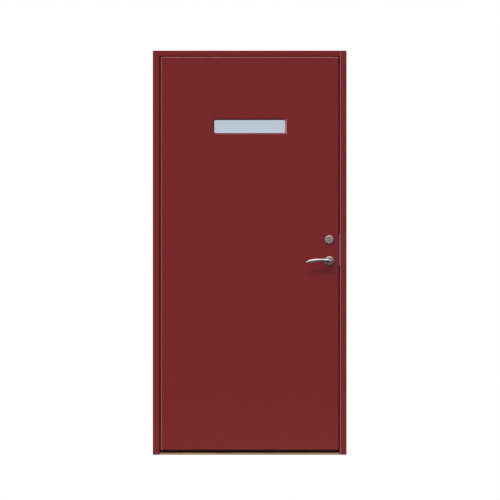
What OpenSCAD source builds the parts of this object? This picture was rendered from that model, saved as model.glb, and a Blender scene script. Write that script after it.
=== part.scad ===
// Flush steel-faced door with a letterbox window, hung on concealed hinges in a rebated timber frame.
// Millimetres, +Z up. The outside, which is the side the leaf opens to, faces -Y.
// The origin is on the floor, in the middle of the frame. Depths are measured back from the front face.

/* [Frame] */
// Overall width of the frame
frame_w = 990; // [800:1:1300]
// Overall height of the frame
frame_h = 2065; // [1900:1:2400]
// Depth of the frame from front to back
frame_d = 100; // [90:1:160]
// Width of each jamb beside the leaf
jamb_face = 35; // [33:1:60]
// Height of the head above the leaf
head_face = 28; // [20:1:60]
// How far the stop laps over the back of the leaf
stop_overlap = 12; // [10:1:20]
// Rounding of the jambs' visible edges
frame_arris = 4; // [1:0.5:5]
// Rounding of the front edges of the head and the sill
rail_arris = 1.5; // [1:0.5:5]
// Height of the oak sill in front, under the leaf
sill_tread = 11.5; // [10:0.5:25]
// How far the sill's stop laps over the back of the leaf
sill_overlap = 13; // [12:1:20]

/* [Leaf] */
// Thickness of the leaf
leaf_t = 50; // [48:1:68]
// Gap between the leaf and each jamb
gap_side = 5.5; // [3.8:0.1:6]
// Gap above the leaf
gap_top = 3; // [2:0.5:6]
// Gap between the leaf and the sill's tread
gap_bottom = 12.5; // [4:0.5:14]
// Gap between the back of the leaf and the stop, filled by the seal
seal_gap = 4; // [3:0.5:6]
// Thickness of the steel skins
skin_t = 1.2; // [0.8:0.1:1.6]
// Outer bend radius of the skins' folded edges
skin_bend = 4; // [3:0.5:6]
// Width of the timber strip left between the two skins' edges
break_w = 6; // [3:0.5:12]
// Width of the stile on the hinge side
hinge_stile_w = 50; // [40:1:80]
// Width of the stile that holds the lock
lock_stile_w = 110; // [100:1:150]
// Height of the top and bottom rails
rail_h = 60; // [40:1:120]

/* [Window] */
// Width of glass that shows
window_w = 361; // [200:1:480]
// Height of glass that shows
window_h = 66; // [50:1:300]
// Distance of the window's middle below the top of the leaf
window_drop = 357; // [250:1:600]
// Corner radius of the glass that shows
window_corner = 8; // [4:1:20]
// Radius of the skin's edge where it rolls in to the glass
window_roll = 7; // [2.5:0.5:8]
// Width of the rubber lip that shows round the glass
glass_lip = 1; // [0.5:0.5:5]
// Thickness of each pane
pane_t = 4; // [3:0.5:6]
// Width of the sealed space between the panes
pane_space = 14; // [8:1:16]
// How far the glass runs behind its edges
glass_cover = 15; // [12:1:25]

/* [Hinges] */
// Distance from each arm's pivot to the crossing pin
hinge_link = 16; // [15.5:0.1:16.5]
// Angle of the arm at its pivot when closed, from straight back
hinge_lean = 20; // [18:0.5:22]
// Distance of the leaf's turning axis in front of the face
axis_lead = 2; // [1.5:0.1:2.5]
// Distance of the outer hinges from the leaf's ends
hinge_inset = 250; // [180:1:400]

/* [Lock] */
// Distance of the lever's axis from the leaf's edge
backset = 47.5; // [45:0.5:60]
// Height of the lever's axis above the floor
lever_z = 991; // [900:1:1100]
// Height of the key cylinder above the lever
cylinder_rise = 108; // [105:1:120]
// Travel of the latch
latch_throw = 12; // [8:1:14]
// Travel of the deadbolt
bolt_throw = 20; // [10:1:22]
// Height of the strike plate
strike_h = 158; // [150:1:200]

/* [Handles] */
// Diameter of the lever's rose
rose_d = 47; // [46:1:56]
// Height of the lever's rose
rose_t = 8; // [7:0.5:12]
// Length of the lever from its axis to its tip
lever_len = 122; // [100:1:140]
// Distance of the lever's grip from the leaf
lever_reach = 48; // [42:1:60]
// Height of the lever's grip at its widest
lever_belly = 19.8; // [16:0.1:26]
// Diameter of the ring round the key cylinder
ring_d = 44; // [43:0.5:54]
// Diameter of the key cylinder
cylinder_d = 30; // [28:0.5:31]

/* [Hidden] */
$fn = 48;
cut = 1; // how far a cutter runs past what it cuts
bond = 0.1; // glue line and loose fit between pieces that stay together
run_clear = 0.06; // radial play of a pin in its bore
free_clear = 0.3; // play between pieces that slide or turn past each other

function at(depth) = depth - frame_d / 2;

// Frame and leaf planes
rebate_x = frame_w / 2 - jamb_face;
leaf_w = 2 * (rebate_x - gap_side);
leaf_z0 = sill_tread + gap_bottom;
leaf_z1 = frame_h - head_face - gap_top;
head_z = frame_h - head_face;
stop_x = leaf_w / 2 - stop_overlap;
stop_z = leaf_z1 - stop_overlap;
stop_d = leaf_t + seal_gap;
sill_h = leaf_z0 + sill_overlap;
sill_fall = 2; // slope of the tread, front to back
skin_return = (leaf_t - break_w) / 2;
mid_d = leaf_t / 2;
stile_hinge_x = skin_t + hinge_stile_w - leaf_w / 2;
stile_lock_x = leaf_w / 2 - skin_t - lock_stile_w;
rail_low_z = leaf_z0 + skin_t + rail_h;
rail_high_z = leaf_z1 - skin_t - rail_h;

// Seal
seal_line = 5; // distance of the seal's middle from the stop's edge
seal_groove_w = 3;
seal_groove_d = 7;
seal_bulb_w = 8;

// Frame fixings
fix_hole_d = 8.5;
fix_head_d = 16;
fix_head_depth = 8;
fix_end = 220; // distance of the outer fixings from the frame's ends
fix_rows = 4;
fix_d = (stop_d + frame_d) / 2;
fix_pitch = (frame_h - 2 * fix_end) / (fix_rows - 1);
joint_screw_d = 5;
joint_screw_len = 70;
joint_head_d = 9;
joint_inset = 14; // distance of the corner screws from the jamb's outer face
joint_sill_z = sill_tread / 2; // height of the screws into the sill
sill_screw_depths = [stop_d * 0.4, fix_d];

// Concealed hinges: two arms cross on a pin, and each turns as far as the leaf does
swing = 105; // how far the leaf opens
axis_x = -rebate_x + gap_side / 2;
axis_y = at(-axis_lead);
link_x = hinge_link * sin(hinge_lean);
link_y = hinge_link * cos(hinge_lean);
arm_t = 6.4;
pivot_boss_r = 5.2;
cross_boss_r = 4.6;
slide_boss_r = 3.5;
pivot_pin_r = 2.5;
cross_pin_r = 2.2;
slide_pin_r = 2.2;
slide_room = 0.6; // room round the arm's sliding end in its pocket
slide_reach = 18; // sideways distance of an arm's sliding end from the crossing pin
slide_drop = 6.4; // depth of that end behind the crossing pin
knee_reach = 6; // sideways distance of the arm's knee from the crossing pin
frame_pivot = [axis_x - link_x, axis_y + link_y];
leaf_pivot = [axis_x + link_x, axis_y + link_y];
cross_pin = [axis_x, axis_y + 2 * link_y];
arm_knee = cross_pin + [-knee_reach, slide_drop];
arm_slide = cross_pin + [-slide_reach, slide_drop];
slot_middle = arm_slide - [link_x, link_y];
body_wall = 2;
pocket_front = 6;
pocket_round = 1;
pocket_back = 2 * link_y - axis_lead + slide_drop + slide_boss_r + slide_room;
body_front = pocket_front - body_wall;
body_back = pocket_back + body_wall;
slide_pocket = slide_reach - gap_side / 2 + slide_boss_r + slide_room;
pivot_pocket = link_x - gap_side / 2 + pivot_boss_r + slide_room;
body_deep = slide_pocket + body_wall;
web_back = 1.5; // how far the webs between the arms stand back from the edge
web_t = 3;
level_gap = 0.5;
leaf_level = 11.5; // half height of the leaf's arm
frame_level = 12; // height of each of the two plates of the frame's arm
level_web = leaf_level + level_gap;
level_plate = level_web + web_t;
level_cheek = level_plate + frame_level + 2 * level_gap;
slide_pin_len = web_t - free_clear;
body_end = 12; // wall of the body beyond the outer arms
body_half = level_cheek + body_end;
plate_past = 38; // how far the face plate runs past the body
plate_half = body_half + plate_past;
plate_t = 3;
hinge_screw_d = 5;
hinge_screw_head = 9;
hinge_screw_len = 28;
hinge_screw_in = [22, 9]; // distances of the screws from the plate's ends
hinge_screw_z = [for (in = hinge_screw_in) plate_half - in];
hinge_z = [leaf_z0 + hinge_inset, (leaf_z0 + leaf_z1) / 2, leaf_z1 - hinge_inset];

// Window
window_z = leaf_z1 - window_drop;
lip_t = 1.5; // thickness of the rubber lip
bead_tape_t = 3;
bead_flange = 12; // how far the inside bead laps over the inner skin
bead_t = 3;
bead_screw_d = 3.5;
bead_screw_head = 6.5;
bead_screw_len = 20;
bead_screw_in = 40; // distance of the bead's screws from its corners
glass_clear = 2; // room round the edge of the glass
liner_t = 14;
glass_w = window_w + 2 * glass_cover;
glass_h = window_h + 2 * glass_cover;
hole_w = glass_w + 2 * glass_clear;
hole_h = glass_h + 2 * glass_clear;
rim_w = window_w + 2 * glass_lip;
rim_h = window_h + 2 * glass_lip;
rim_corner = window_corner + glass_lip;
rim_past = 0.5; // how far the rolled edge runs back past its bend
rim_depth = window_roll + rim_past;
pane_out = rim_depth + free_clear + lip_t;
pane_in = pane_out + pane_t + pane_space;
bead_start = pane_in + pane_t + bead_tape_t;
spacer_w = 7;
spacer_inset = 3;
pane_corner = 1;
block_len = 60;
block_off = window_w * 0.3;

// Lock
lock_x = leaf_w / 2 - backset;
cylinder_z = lever_z + cylinder_rise;
plug_drop = 6; // the key plug sits this far under the middle of its cylinder
cam_z = cylinder_z - plug_drop;
forend_w = 22;
forend_t = 3;
forend_below = 70; // how far the forend runs under the lever's axis
forend_above = 50; // how far it runs over the cylinder's
forend_z0 = lever_z - forend_below;
forend_z1 = cylinder_z + forend_above;
forend_screw_d = 4;
forend_screw_head = 7.5;
forend_screw_len = 26;
forend_screw_in = 12;
case_t = 15;
case_wall = 1.5;
case_behind = 36; // how far the case runs behind the lever's axis
case_below = 50; // how far it runs under that axis
case_above = 28; // how far it runs over the cylinder's
case_x0 = lock_x - case_behind;
case_x1 = leaf_w / 2 - forend_t;
case_z0 = lever_z - case_below;
case_z1 = cylinder_z + case_above;
case_d0 = mid_d - case_t / 2;
case_d1 = mid_d + case_t / 2;
key_t = case_t - 2 * case_wall - 2 * free_clear; // thickness of the latch and the bolt
bolt_back = 0.5; // how far a drawn bolt stands behind the forend's face
latch_rise = 15; // height of the latch over the lever's axis
latch_z = lever_z + latch_rise;
latch_h = 22;
latch_len = 24;
latch_bevel = 0.75 * latch_throw;
latch_x1 = leaf_w / 2 - bolt_back;
latch_x0 = latch_x1 - latch_len;
spindle = 8;
spindle_end = 28;
follower_r = 11;
journal_r = 9;
tail_t = 5;
tail_h = 4;
tail_reach = 9.5; // how far the latch's tail runs behind the lever's axis
tail_z = lever_z + follower_r + free_clear + tail_h / 2;
spring_wire_r = 0.5;
spring_r = 3;
spring_turns = 7;
spring_drop = 4.5; // distance of the spring under the latch's top
spring_behind = 1; // distance of its seat behind the lever's axis
spring_z = latch_z + latch_h / 2 - spring_drop;
spring_x = lock_x - spring_behind;
spring_seat_t = 3;
spring_sides = 6;
spring_steps = 16;
bolt_rise = 72; // height of the deadbolt over the lever's axis
bolt_z = lever_z + bolt_rise;
bolt_h = 28;
bolt_len = 46;
cam_r = 7.5;
cam_finger = 14;
cam_finger_w = 6;
bar_w = 6;
bar_t = 2;

// Strike: the leaf's back corner sweeps out past its edge as it opens, and the plate stays clear of it
corner_sweep = norm([leaf_w / 2 - axis_x, leaf_t + axis_lead]) + axis_x - leaf_w / 2;
strike_clear = 1.3;
strike_proud = gap_side - corner_sweep - strike_clear;
strike_t = 2.5;
strike_front = 0.6;
strike_past = 13; // how far the plate runs back past the bolts' middle
strike_back = mid_d + strike_past;
strike_shift = 14.5; // height of the plate's middle over that of the bolts
strike_z = (latch_z + bolt_z) / 2 + strike_shift;
strike_box_t = 1.2;
strike_screw_d = 4;
strike_screw_head = 8;
strike_screw_len = 24;
strike_screw_in = 10;
strike_room = 2; // room round the latch and the bolt in the strike
strike_x = rebate_x - strike_proud + strike_t;
strike_box_room = 4; // room behind the thrown bolts
strike_box_x = leaf_w / 2 + max(bolt_throw, latch_throw) + strike_box_room;

// Handles
rose_rim = 5; // width of a rose's rim, rounded on its outer edge
rose_land = 5; // width of the flat round a rose's bore
rose_dish = 2.5;
neck_r = 11.5;
hub_r = 10.5;
hub_start = 1;
hub_past = 4; // how far the hub stands out of the rose
hub_end = rose_t + hub_past;
hub_lap = 2; // how far the grip runs into the hub
bend_r = 20;
grip_neck = 6.6; // half height of the grip where the bend has run out
grip_rise = 4.4; // height of the grip's line above the axis there
grip_droop = 11.8; // fall of the tip from that line
grip_curve = 1.6; // power of the way along by which it falls
grip_t = 6; // half thickness of the grip
tip_t = 3;
tip_h = 0.8;
belly_x = 0.69 * lever_len; // distance from the axis where the grip is widest
neck_x = 30; // distance from the axis where the bend has run out
lever_sides = 20;
neck_steps = 2;
bend_steps = 7;
grip_steps = 16;
grub_d = 4;
grub_out = 20;
grub_sunk = 1; // how far a grub screw stands behind the neck's side
rose_bolt_off = 15.5;
rose_bolt_d = 4;
rose_bolt_head = 7;
rose_bolt_grip = 5; // how far a bolt threads into the outer rose
ring_t = 8;
ring_land = 0.5;
ring_dish = 2.5;
cylinder_sunk = 0.5; // how far the cylinder stands behind the ring's dish
cylinder_out = ring_t - ring_dish - cylinder_sunk;
cylinder_screw_off = 11;
cylinder_screw_grip = 9;
plug_r = 6.5;
plug_out = 1.2;
plug_round = 0.8;
key_slot_w = 2.2;
key_slot_h = 8.5;
key_slot_deep = 6;
key_lean = 12;
turn_rose_d = 46;
turn_rose_t = 7;
turn_neck_r = 7;
turn_len = 34;
turn_t = 11;
turn_in = 12;
turn_out = 26;
turn_round = 3;

red = [0.463, 0.165, 0.173];
oak = [0.573, 0.467, 0.353];
pine = [0.80, 0.66, 0.45];
steel = [0.72, 0.72, 0.70];
zinc = [0.62, 0.63, 0.64];
black = [0.06, 0.06, 0.06];
pale_blue = [0.73, 0.78, 0.82];
wool = [0.86, 0.80, 0.55];

// Plain shapes

// A rectangle whose corners have their own radii: low-left, low-right, high-right, high-left
module bar2d(x0, x1, y0, y1, r = [0, 0, 0, 0]) {
    places = [[x0, y0], [x1, y0], [x1, y1], [x0, y1]];
    difference() {
        translate([x0, y0]) square([x1 - x0, y1 - y0]);
        for (i = [0:3])
            if (r[i] > 0)
                translate(places[i]) rotate(90 * i) difference() {
                    translate([-cut, -cut]) square(r[i] + cut);
                    translate([r[i], r[i]]) circle(r[i]);
                }
    }
}

// A rectangle round the middle, all corners alike
module plate2d(w, h, r) {
    bar2d(-w / 2, w / 2, -h / 2, h / 2, [r, r, r, r]);
}

// A bar of even width from one point to another
module link2d(p, q, t) {
    run = q - p;
    translate(p) rotate(atan2(run[1], run[0])) translate([0, -t / 2]) square([norm(run), t]);
}

// Extrusions of an outline drawn in (Y, Z), (X, Z) or (X, Y)
module along_x(x0, x1) {
    translate([x0, 0, 0]) rotate([90, 0, 90]) linear_extrude(x1 - x0) children();
}

module along_y(y0, y1) {
    translate([0, y1, 0]) rotate([90, 0, 0]) linear_extrude(y1 - y0) children();
}

module along_z(z0, z1) {
    translate([0, 0, z0]) linear_extrude(z1 - z0) children();
}

// Round bars along each axis
module rod_x(x0, x1, y, z, r) {
    translate([x0, y, z]) rotate([0, 90, 0]) cylinder(h = x1 - x0, r = r);
}

module rod_y(x, y0, y1, z, r) {
    translate([x, y0, z]) rotate([-90, 0, 0]) cylinder(h = y1 - y0, r = r);
}

module rod_z(p, z0, z1, r) {
    translate([p[0], p[1], z0]) cylinder(h = z1 - z0, r = r);
}

// Countersunk screw that points down with the face of its head at zero, and the hole that takes it
module screw(d, head_d, len) {
    head_t = (head_d - d) / 2;
    translate([0, 0, -head_t]) cylinder(h = head_t, r1 = d / 2, r2 = head_d / 2);
    translate([0, 0, -len]) cylinder(h = len - head_t, r = d / 2);
}

module screw_hole(d, head_d, len, run = cut) {
    head_t = (head_d - d) / 2;
    translate([0, 0, -head_t]) cylinder(h = head_t, r1 = d / 2 + bond, r2 = head_d / 2 + bond);
    cylinder(h = run, r = head_d / 2 + bond);
    translate([0, 0, -len - bond]) cylinder(h = len + bond, r = d / 2 + bond);
}

module up_and_down() {
    children();
    mirror([0, 0, 1]) children();
}

// Places for the handles: x right, y up, z out of the leaf
module on_front(x, z) {
    translate([x, at(0), z]) rotate([90, 0, 0]) children();
}

module on_back(x, z) {
    translate([x, at(leaf_t), z]) mirror([0, 1, 0]) rotate([90, 0, 0]) children();
}

// The leaf's half of a hinge is the frame's half mirrored about the middle of the gap
module leaf_half() {
    translate([2 * axis_x, 0, 0]) mirror([1, 0, 0]) children();
}

// Timber frame

module seal_loop(width, depth0, depth1) {
    side = stop_x + seal_line;
    low = sill_h - seal_line;
    high = stop_z + seal_line;
    half = width / 2;
    along_y(at(depth0), at(depth1)) difference() {
        bar2d(-side - half, side + half, low - half, high + half);
        bar2d(-side + half, side - half, low + half, high - half);
    }
}

module seal_groove() {
    seal_loop(seal_groove_w, stop_d - cut, stop_d + seal_groove_d);
}

module frame_seal() color(black) union() {
    seal_loop(seal_groove_w - 2 * bond, stop_d - cut, stop_d + seal_groove_d - bond);
    seal_loop(seal_bulb_w, leaf_t + free_clear, stop_d - bond);
}

// Plan of the right-hand jamb: beside the leaf, and the stop behind it
module jamb_plan() {
    r = frame_arris;
    bar2d(rebate_x, frame_w / 2, at(0), at(stop_d) + cut, [r, r / 2, 0, 0]);
    bar2d(stop_x, frame_w / 2, at(stop_d), at(frame_d), [r / 2, 0, r / 2, r]);
}

function fix_z(i) = fix_end + i * fix_pitch;

module fixing_holes() {
    for (i = [0:fix_rows - 1]) {
        rod_x(stop_x - cut, frame_w / 2 + cut, at(fix_d), fix_z(i), fix_hole_d / 2);
        rod_x(stop_x - cut, stop_x + fix_head_depth, at(fix_d), fix_z(i), fix_head_d / 2);
    }
}

module corner_screw_places() {
    for (side = [-1, 1]) {
        for (depth = [mid_d, fix_d])
            translate([side * (frame_w / 2 - joint_inset), at(depth), frame_h]) children();
        for (depth = sill_screw_depths)
            translate([side * frame_w / 2, at(depth), joint_sill_z]) rotate([0, side * 90, 0]) children();
    }
}

module corner_screws() color(zinc)
    corner_screw_places() screw(joint_screw_d, joint_head_d, joint_screw_len);

module corner_screw_holes() {
    corner_screw_places() screw_hole(joint_screw_d, joint_head_d, joint_screw_len);
}

module jamb_blank() {
    difference() {
        along_z(0, head_z) jamb_plan();
        fixing_holes();
        seal_groove();
    }
}

module hinge_jamb() color(red) difference() {
    mirror([1, 0, 0]) jamb_blank();
    corner_screw_holes();
    for (z = hinge_z) translate([0, 0, z]) {
        hinge_blank(bond, cut);
        hinge_screw_places() screw_hole(hinge_screw_d, hinge_screw_head, hinge_screw_len);
    }
}

module lock_jamb() color(red) difference() {
    jamb_blank();
    corner_screw_holes();
    strike_blank(bond, cut);
    strike_box_blank(bond);
    strike_screw_places() screw_hole(strike_screw_d, strike_screw_head, strike_screw_len);
}

module frame_head() color(red) difference() {
    r = rail_arris;
    union() {
        along_x(-frame_w / 2, frame_w / 2)
            bar2d(at(0), at(frame_d), head_z, frame_h, [r, 0, r / 2, r / 2]);
        along_x(-stop_x, stop_x)
            bar2d(at(stop_d), at(frame_d), stop_z, head_z + cut, [r / 2, r, 0, 0]);
    }
    seal_groove();
    corner_screw_holes();
}

module sill() color(oak) difference() {
    r = rail_arris;
    top = sill_tread + sill_fall;
    union() {
        along_x(-rebate_x, rebate_x) difference() {
            bar2d(at(0), at(stop_d), 0, top);
            polygon([
                [at(-cut), sill_tread],
                [at(0), sill_tread],
                [at(stop_d), top],
                [at(stop_d), top + cut],
                [at(-cut), top + cut]
            ]);
            translate([at(0), sill_tread]) rotate(-90) difference() {
                translate([-cut, -cut]) square(r + cut);
                translate([r, r]) circle(r);
            }
        }
        along_x(-stop_x, stop_x) bar2d(at(stop_d) - cut, at(frame_d), 0, sill_tread);
        along_x(-stop_x, stop_x) bar2d(at(stop_d), at(frame_d), 0, sill_h, [0, 0, r, r / 2]);
    }
    seal_groove();
    corner_screw_holes();
}

// Strike on the lock jamb

module strike_blank(grow, run) {
    along_x(rebate_x - strike_proud - run, strike_x + grow)
        bar2d(at(strike_front) - grow - run, at(strike_back) + grow,
              strike_z - strike_h / 2 - grow, strike_z + strike_h / 2 + grow);
}

module key_window(z, h, room) {
    deep = key_t / 2 + room;
    bar2d(at(mid_d - deep), at(mid_d + deep), z - h / 2 - room, z + h / 2 + room);
}

module bolt_windows(x0, x1, room) {
    along_x(x0, x1) {
        key_window(latch_z, latch_h, room);
        key_window(bolt_z, bolt_h, room);
    }
}

module strike_screw_places() {
    for (side = [-1, 1])
        translate([rebate_x - strike_proud, at(mid_d), strike_z])
            translate([0, 0, side * (strike_h / 2 - strike_screw_in)]) rotate([0, -90, 0]) children();
}

module strike_plate() color(steel) difference() {
    r = strike_t / 2;
    along_z(strike_z - strike_h / 2, strike_z + strike_h / 2)
        bar2d(rebate_x - strike_proud, strike_x, at(strike_front), at(strike_back), [r, 0, 0, r]);
    bolt_windows(rebate_x - strike_proud - cut, strike_x + cut, strike_room);
    strike_screw_places() screw_hole(strike_screw_d, strike_screw_head, strike_screw_len);
}

module strike_box_blank(grow) {
    room = strike_room + strike_box_t + grow;
    middle = (latch_z - latch_h / 2 + bolt_z + bolt_h / 2) / 2;
    height = bolt_z + bolt_h / 2 - latch_z + latch_h / 2;
    along_x(strike_x - grow, strike_box_x + strike_box_t + grow) key_window(middle, height, room);
}

module strike_box() color(black) difference() {
    middle = (latch_z - latch_h / 2 + bolt_z + bolt_h / 2) / 2;
    height = bolt_z + bolt_h / 2 - latch_z + latch_h / 2;
    strike_box_blank(0);
    along_x(strike_x - cut, strike_box_x) key_window(middle, height, strike_room);
}

module strike_screws() color(zinc)
    strike_screw_places() screw(strike_screw_d, strike_screw_head, strike_screw_len);

// Concealed hinges, drawn for the frame's half with the hinge's middle at height zero

module hinge_blank(grow, run) {
    r = (body_back - body_front) / 2 + grow;
    along_x(-rebate_x - plate_t - grow, -rebate_x + run)
        bar2d(at(body_front) - grow, at(body_back) + grow,
              -plate_half - grow, plate_half + grow, [r, r, r, r]);
    along_x(-rebate_x - body_deep - grow, -rebate_x + run)
        bar2d(at(body_front) - grow, at(body_back) + grow, -body_half - grow, body_half + grow);
}

module hinge_screw_places() {
    for (side = [-1, 1], z = hinge_screw_z)
        translate([-rebate_x, at((body_front + body_back) / 2), side * z]) rotate([0, 90, 0]) children();
}

module arm_pocket(deep, z0, z1) {
    along_z(z0, z1)
        bar2d(-rebate_x - deep, -rebate_x + cut, at(pocket_front), at(pocket_back),
              [pocket_round, 0, 0, pocket_round]);
}

// Mouth of a web between two arms, where the crossing pin stands when the leaf is shut
module web_mouth() {
    bar2d(-rebate_x - web_back, -rebate_x + cut, at(pocket_front), at(pocket_back));
}

// Bent slot that the other half's arm slides along
module slide_slot() {
    half = slide_pin_r + free_clear;
    over = asin(half / hinge_link);
    span = swing + 2 * over;
    far = 3 * hinge_link;
    translate(slot_middle) rotate(90 - hinge_lean - swing - over) intersection() {
        difference() {
            circle(hinge_link + half);
            circle(hinge_link - half);
        }
        polygon([
            [0, 0],
            [far, 0],
            [far * cos(span / 3), far * sin(span / 3)],
            [far * cos(2 * span / 3), far * sin(2 * span / 3)],
            [far * cos(span), far * sin(span)]
        ]);
    }
}

module hinge_frame_body() difference() {
    union() {
        difference() {
            hinge_blank(0, 0);
            arm_pocket(slide_pocket, -level_web, level_web);
            up_and_down() {
                arm_pocket(pivot_pocket, level_plate, level_cheek);
                along_z(level_web - cut, level_plate + cut) {
                    web_mouth();
                    slide_slot();
                }
            }
        }
        up_and_down() rod_z(frame_pivot, level_plate + level_gap, level_cheek + cut, pivot_pin_r);
    }
    hinge_screw_places() screw_hole(hinge_screw_d, hinge_screw_head, hinge_screw_len);
}

module hinge_leaf_body() leaf_half() difference() {
    union() {
        difference() {
            hinge_blank(0, 0);
            arm_pocket(pivot_pocket, -level_web, level_web);
            up_and_down() {
                arm_pocket(slide_pocket, level_plate, level_cheek);
                along_z(level_web - cut, level_plate + cut) web_mouth();
                along_z(level_cheek - cut, level_cheek + web_t) slide_slot();
            }
        }
        rod_z(frame_pivot, -level_web - cut, level_web + cut, pivot_pin_r);
    }
    hinge_screw_places() screw_hole(hinge_screw_d, hinge_screw_head, hinge_screw_len);
}

// Plan of an arm that pivots in the leaf and slides in the frame
module arm_plan() {
    translate(leaf_pivot) circle(pivot_boss_r);
    translate(cross_pin) circle(cross_boss_r);
    translate(arm_knee) circle(arm_t / 2);
    translate(arm_slide) circle(slide_boss_r);
    link2d(leaf_pivot, cross_pin, arm_t);
    link2d(cross_pin, arm_knee, arm_t);
    link2d(arm_knee, arm_slide, arm_t);
}

module leaf_arm() difference() {
    union() {
        along_z(-leaf_level, leaf_level) arm_plan();
        rod_z(arm_slide, -level_web - slide_pin_len, level_web + slide_pin_len, slide_pin_r);
    }
    rod_z(leaf_pivot, -leaf_level - cut, leaf_level + cut, pivot_pin_r + run_clear);
    rod_z(cross_pin, -leaf_level - cut, leaf_level + cut, cross_pin_r + run_clear);
}

module frame_arm() {
    low = level_plate + level_gap;
    high = level_cheek - level_gap;
    difference() {
        union() {
            leaf_half() up_and_down() {
                along_z(low, high) arm_plan();
                rod_z(arm_slide, high - cut, level_cheek + slide_pin_len, slide_pin_r);
            }
            rod_z(cross_pin, -low - cut, low + cut, cross_pin_r);
        }
        up_and_down() rod_z(frame_pivot, low - cut, high + cut, pivot_pin_r + run_clear);
    }
}

module hinge_frame_body_bottom() color(zinc) translate([0, 0, hinge_z[0]]) hinge_frame_body();
module hinge_frame_body_middle() color(zinc) translate([0, 0, hinge_z[1]]) hinge_frame_body();
module hinge_frame_body_top() color(zinc) translate([0, 0, hinge_z[2]]) hinge_frame_body();
module hinge_leaf_body_bottom() color(zinc) translate([0, 0, hinge_z[0]]) hinge_leaf_body();
module hinge_leaf_body_middle() color(zinc) translate([0, 0, hinge_z[1]]) hinge_leaf_body();
module hinge_leaf_body_top() color(zinc) translate([0, 0, hinge_z[2]]) hinge_leaf_body();
module frame_arm_bottom() color(steel) translate([0, 0, hinge_z[0]]) frame_arm();
module frame_arm_middle() color(steel) translate([0, 0, hinge_z[1]]) frame_arm();
module frame_arm_top() color(steel) translate([0, 0, hinge_z[2]]) frame_arm();
module leaf_arm_bottom() color(steel) translate([0, 0, hinge_z[0]]) leaf_arm();
module leaf_arm_middle() color(steel) translate([0, 0, hinge_z[1]]) leaf_arm();
module leaf_arm_top() color(steel) translate([0, 0, hinge_z[2]]) leaf_arm();

module hinge_frame_screws() color(zinc)
    for (z = hinge_z) translate([0, 0, z])
        hinge_screw_places() screw(hinge_screw_d, hinge_screw_head, hinge_screw_len);

module hinge_leaf_screws() color(zinc) leaf_half()
    for (z = hinge_z) translate([0, 0, z])
        hinge_screw_places() screw(hinge_screw_d, hinge_screw_head, hinge_screw_len);

module leaf_hinge_cuts() leaf_half()
    for (z = hinge_z) translate([0, 0, z]) {
        hinge_blank(bond, cut);
        hinge_screw_places() screw_hole(hinge_screw_d, hinge_screw_head, hinge_screw_len);
    }

// Leaf

// Front half of the leaf as a block with bent edges, set in on its outer sides
module half_block(inset, depth) {
    r = skin_bend - inset;
    x = leaf_w / 2 - inset;
    intersection() {
        along_z(leaf_z0 + inset, leaf_z1 - inset) bar2d(-x, x, at(inset), at(depth), [r, r, 0, 0]);
        along_x(-x, x) bar2d(at(inset), at(depth), leaf_z0 + inset, leaf_z1 - inset, [r, 0, 0, r]);
    }
}

// What fills the leaf between its skins, and shows as a strip round the edge
module leaf_filling() {
    inset = skin_t + bond;
    strip = skin_return + bond;
    r = skin_bend - inset;
    x = leaf_w / 2 - inset;
    intersection() {
        along_z(leaf_z0 + inset, leaf_z1 - inset)
            bar2d(-x, x, at(inset), at(leaf_t - inset), [r, r, r, r]);
        along_x(-x, x)
            bar2d(at(inset), at(leaf_t - inset), leaf_z0 + inset, leaf_z1 - inset, [r, r, r, r]);
    }
    along_y(at(strip), at(leaf_t - strip)) bar2d(-leaf_w / 2, leaf_w / 2, leaf_z0, leaf_z1);
}

module filling_slice(x0, x1, z0, z1) {
    intersection() {
        leaf_filling();
        along_y(at(-cut), at(leaf_t + cut)) bar2d(x0, x1, z0, z1);
    }
}

module skin_shell() {
    difference() {
        half_block(0, skin_return);
        half_block(skin_t, skin_return + cut);
    }
}

module window_plate(w, h, r, depth0, depth1) {
    along_y(at(depth0), at(depth1)) translate([0, window_z]) plate2d(w, h, r);
}

// Section of the rolled edge round the window: distance out from the edge, and depth
module rim_section() {
    difference() {
        square([window_roll + bond, rim_depth]);
        translate([window_roll, window_roll]) circle(window_roll - skin_t);
        translate([skin_t, window_roll]) square([window_roll, rim_depth]);
        translate([window_roll, skin_t]) square([window_roll, rim_depth]);
        difference() {
            translate([-cut, -cut]) square(window_roll + cut);
            translate([window_roll, window_roll]) circle(window_roll);
        }
    }
}

module rolled_rim() {
    across = rim_w / 2 - rim_corner;
    up = rim_h / 2 - rim_corner;
    translate([0, at(0), window_z]) rotate([-90, 0, 0]) {
        for (side = [0, 180]) rotate(side) {
            translate([rim_w / 2, up, 0]) rotate([90, 0, 0]) linear_extrude(2 * up) rim_section();
            translate([-across, rim_h / 2, 0]) rotate([90, 0, 90])
                linear_extrude(2 * across) rim_section();
            translate([across, up, 0])
                rotate_extrude(angle = 90) translate([rim_corner, 0]) rim_section();
            translate([across, -up, 0]) rotate([0, 0, -90])
                rotate_extrude(angle = 90) translate([rim_corner, 0]) rim_section();
        }
    }
}

module outer_skin() color(red) difference() {
    union() {
        difference() {
            skin_shell();
            window_plate(rim_w + 2 * window_roll, rim_h + 2 * window_roll, rim_corner + window_roll,
                         -cut, skin_t + cut);
        }
        rolled_rim();
    }
    leaf_hinge_cuts();
    forend_blank(bond, cut);
    rod_y(lock_x, at(-cut), at(skin_t + cut), lever_z, hub_r + free_clear);
    rose_bolt_places() rod_y(0, at(-cut), at(skin_t + cut), 0, rose_bolt_d / 2 + free_clear);
    rod_y(lock_x, at(-cut), at(skin_t + cut), cylinder_z, cylinder_d / 2 + bond);
}

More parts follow.
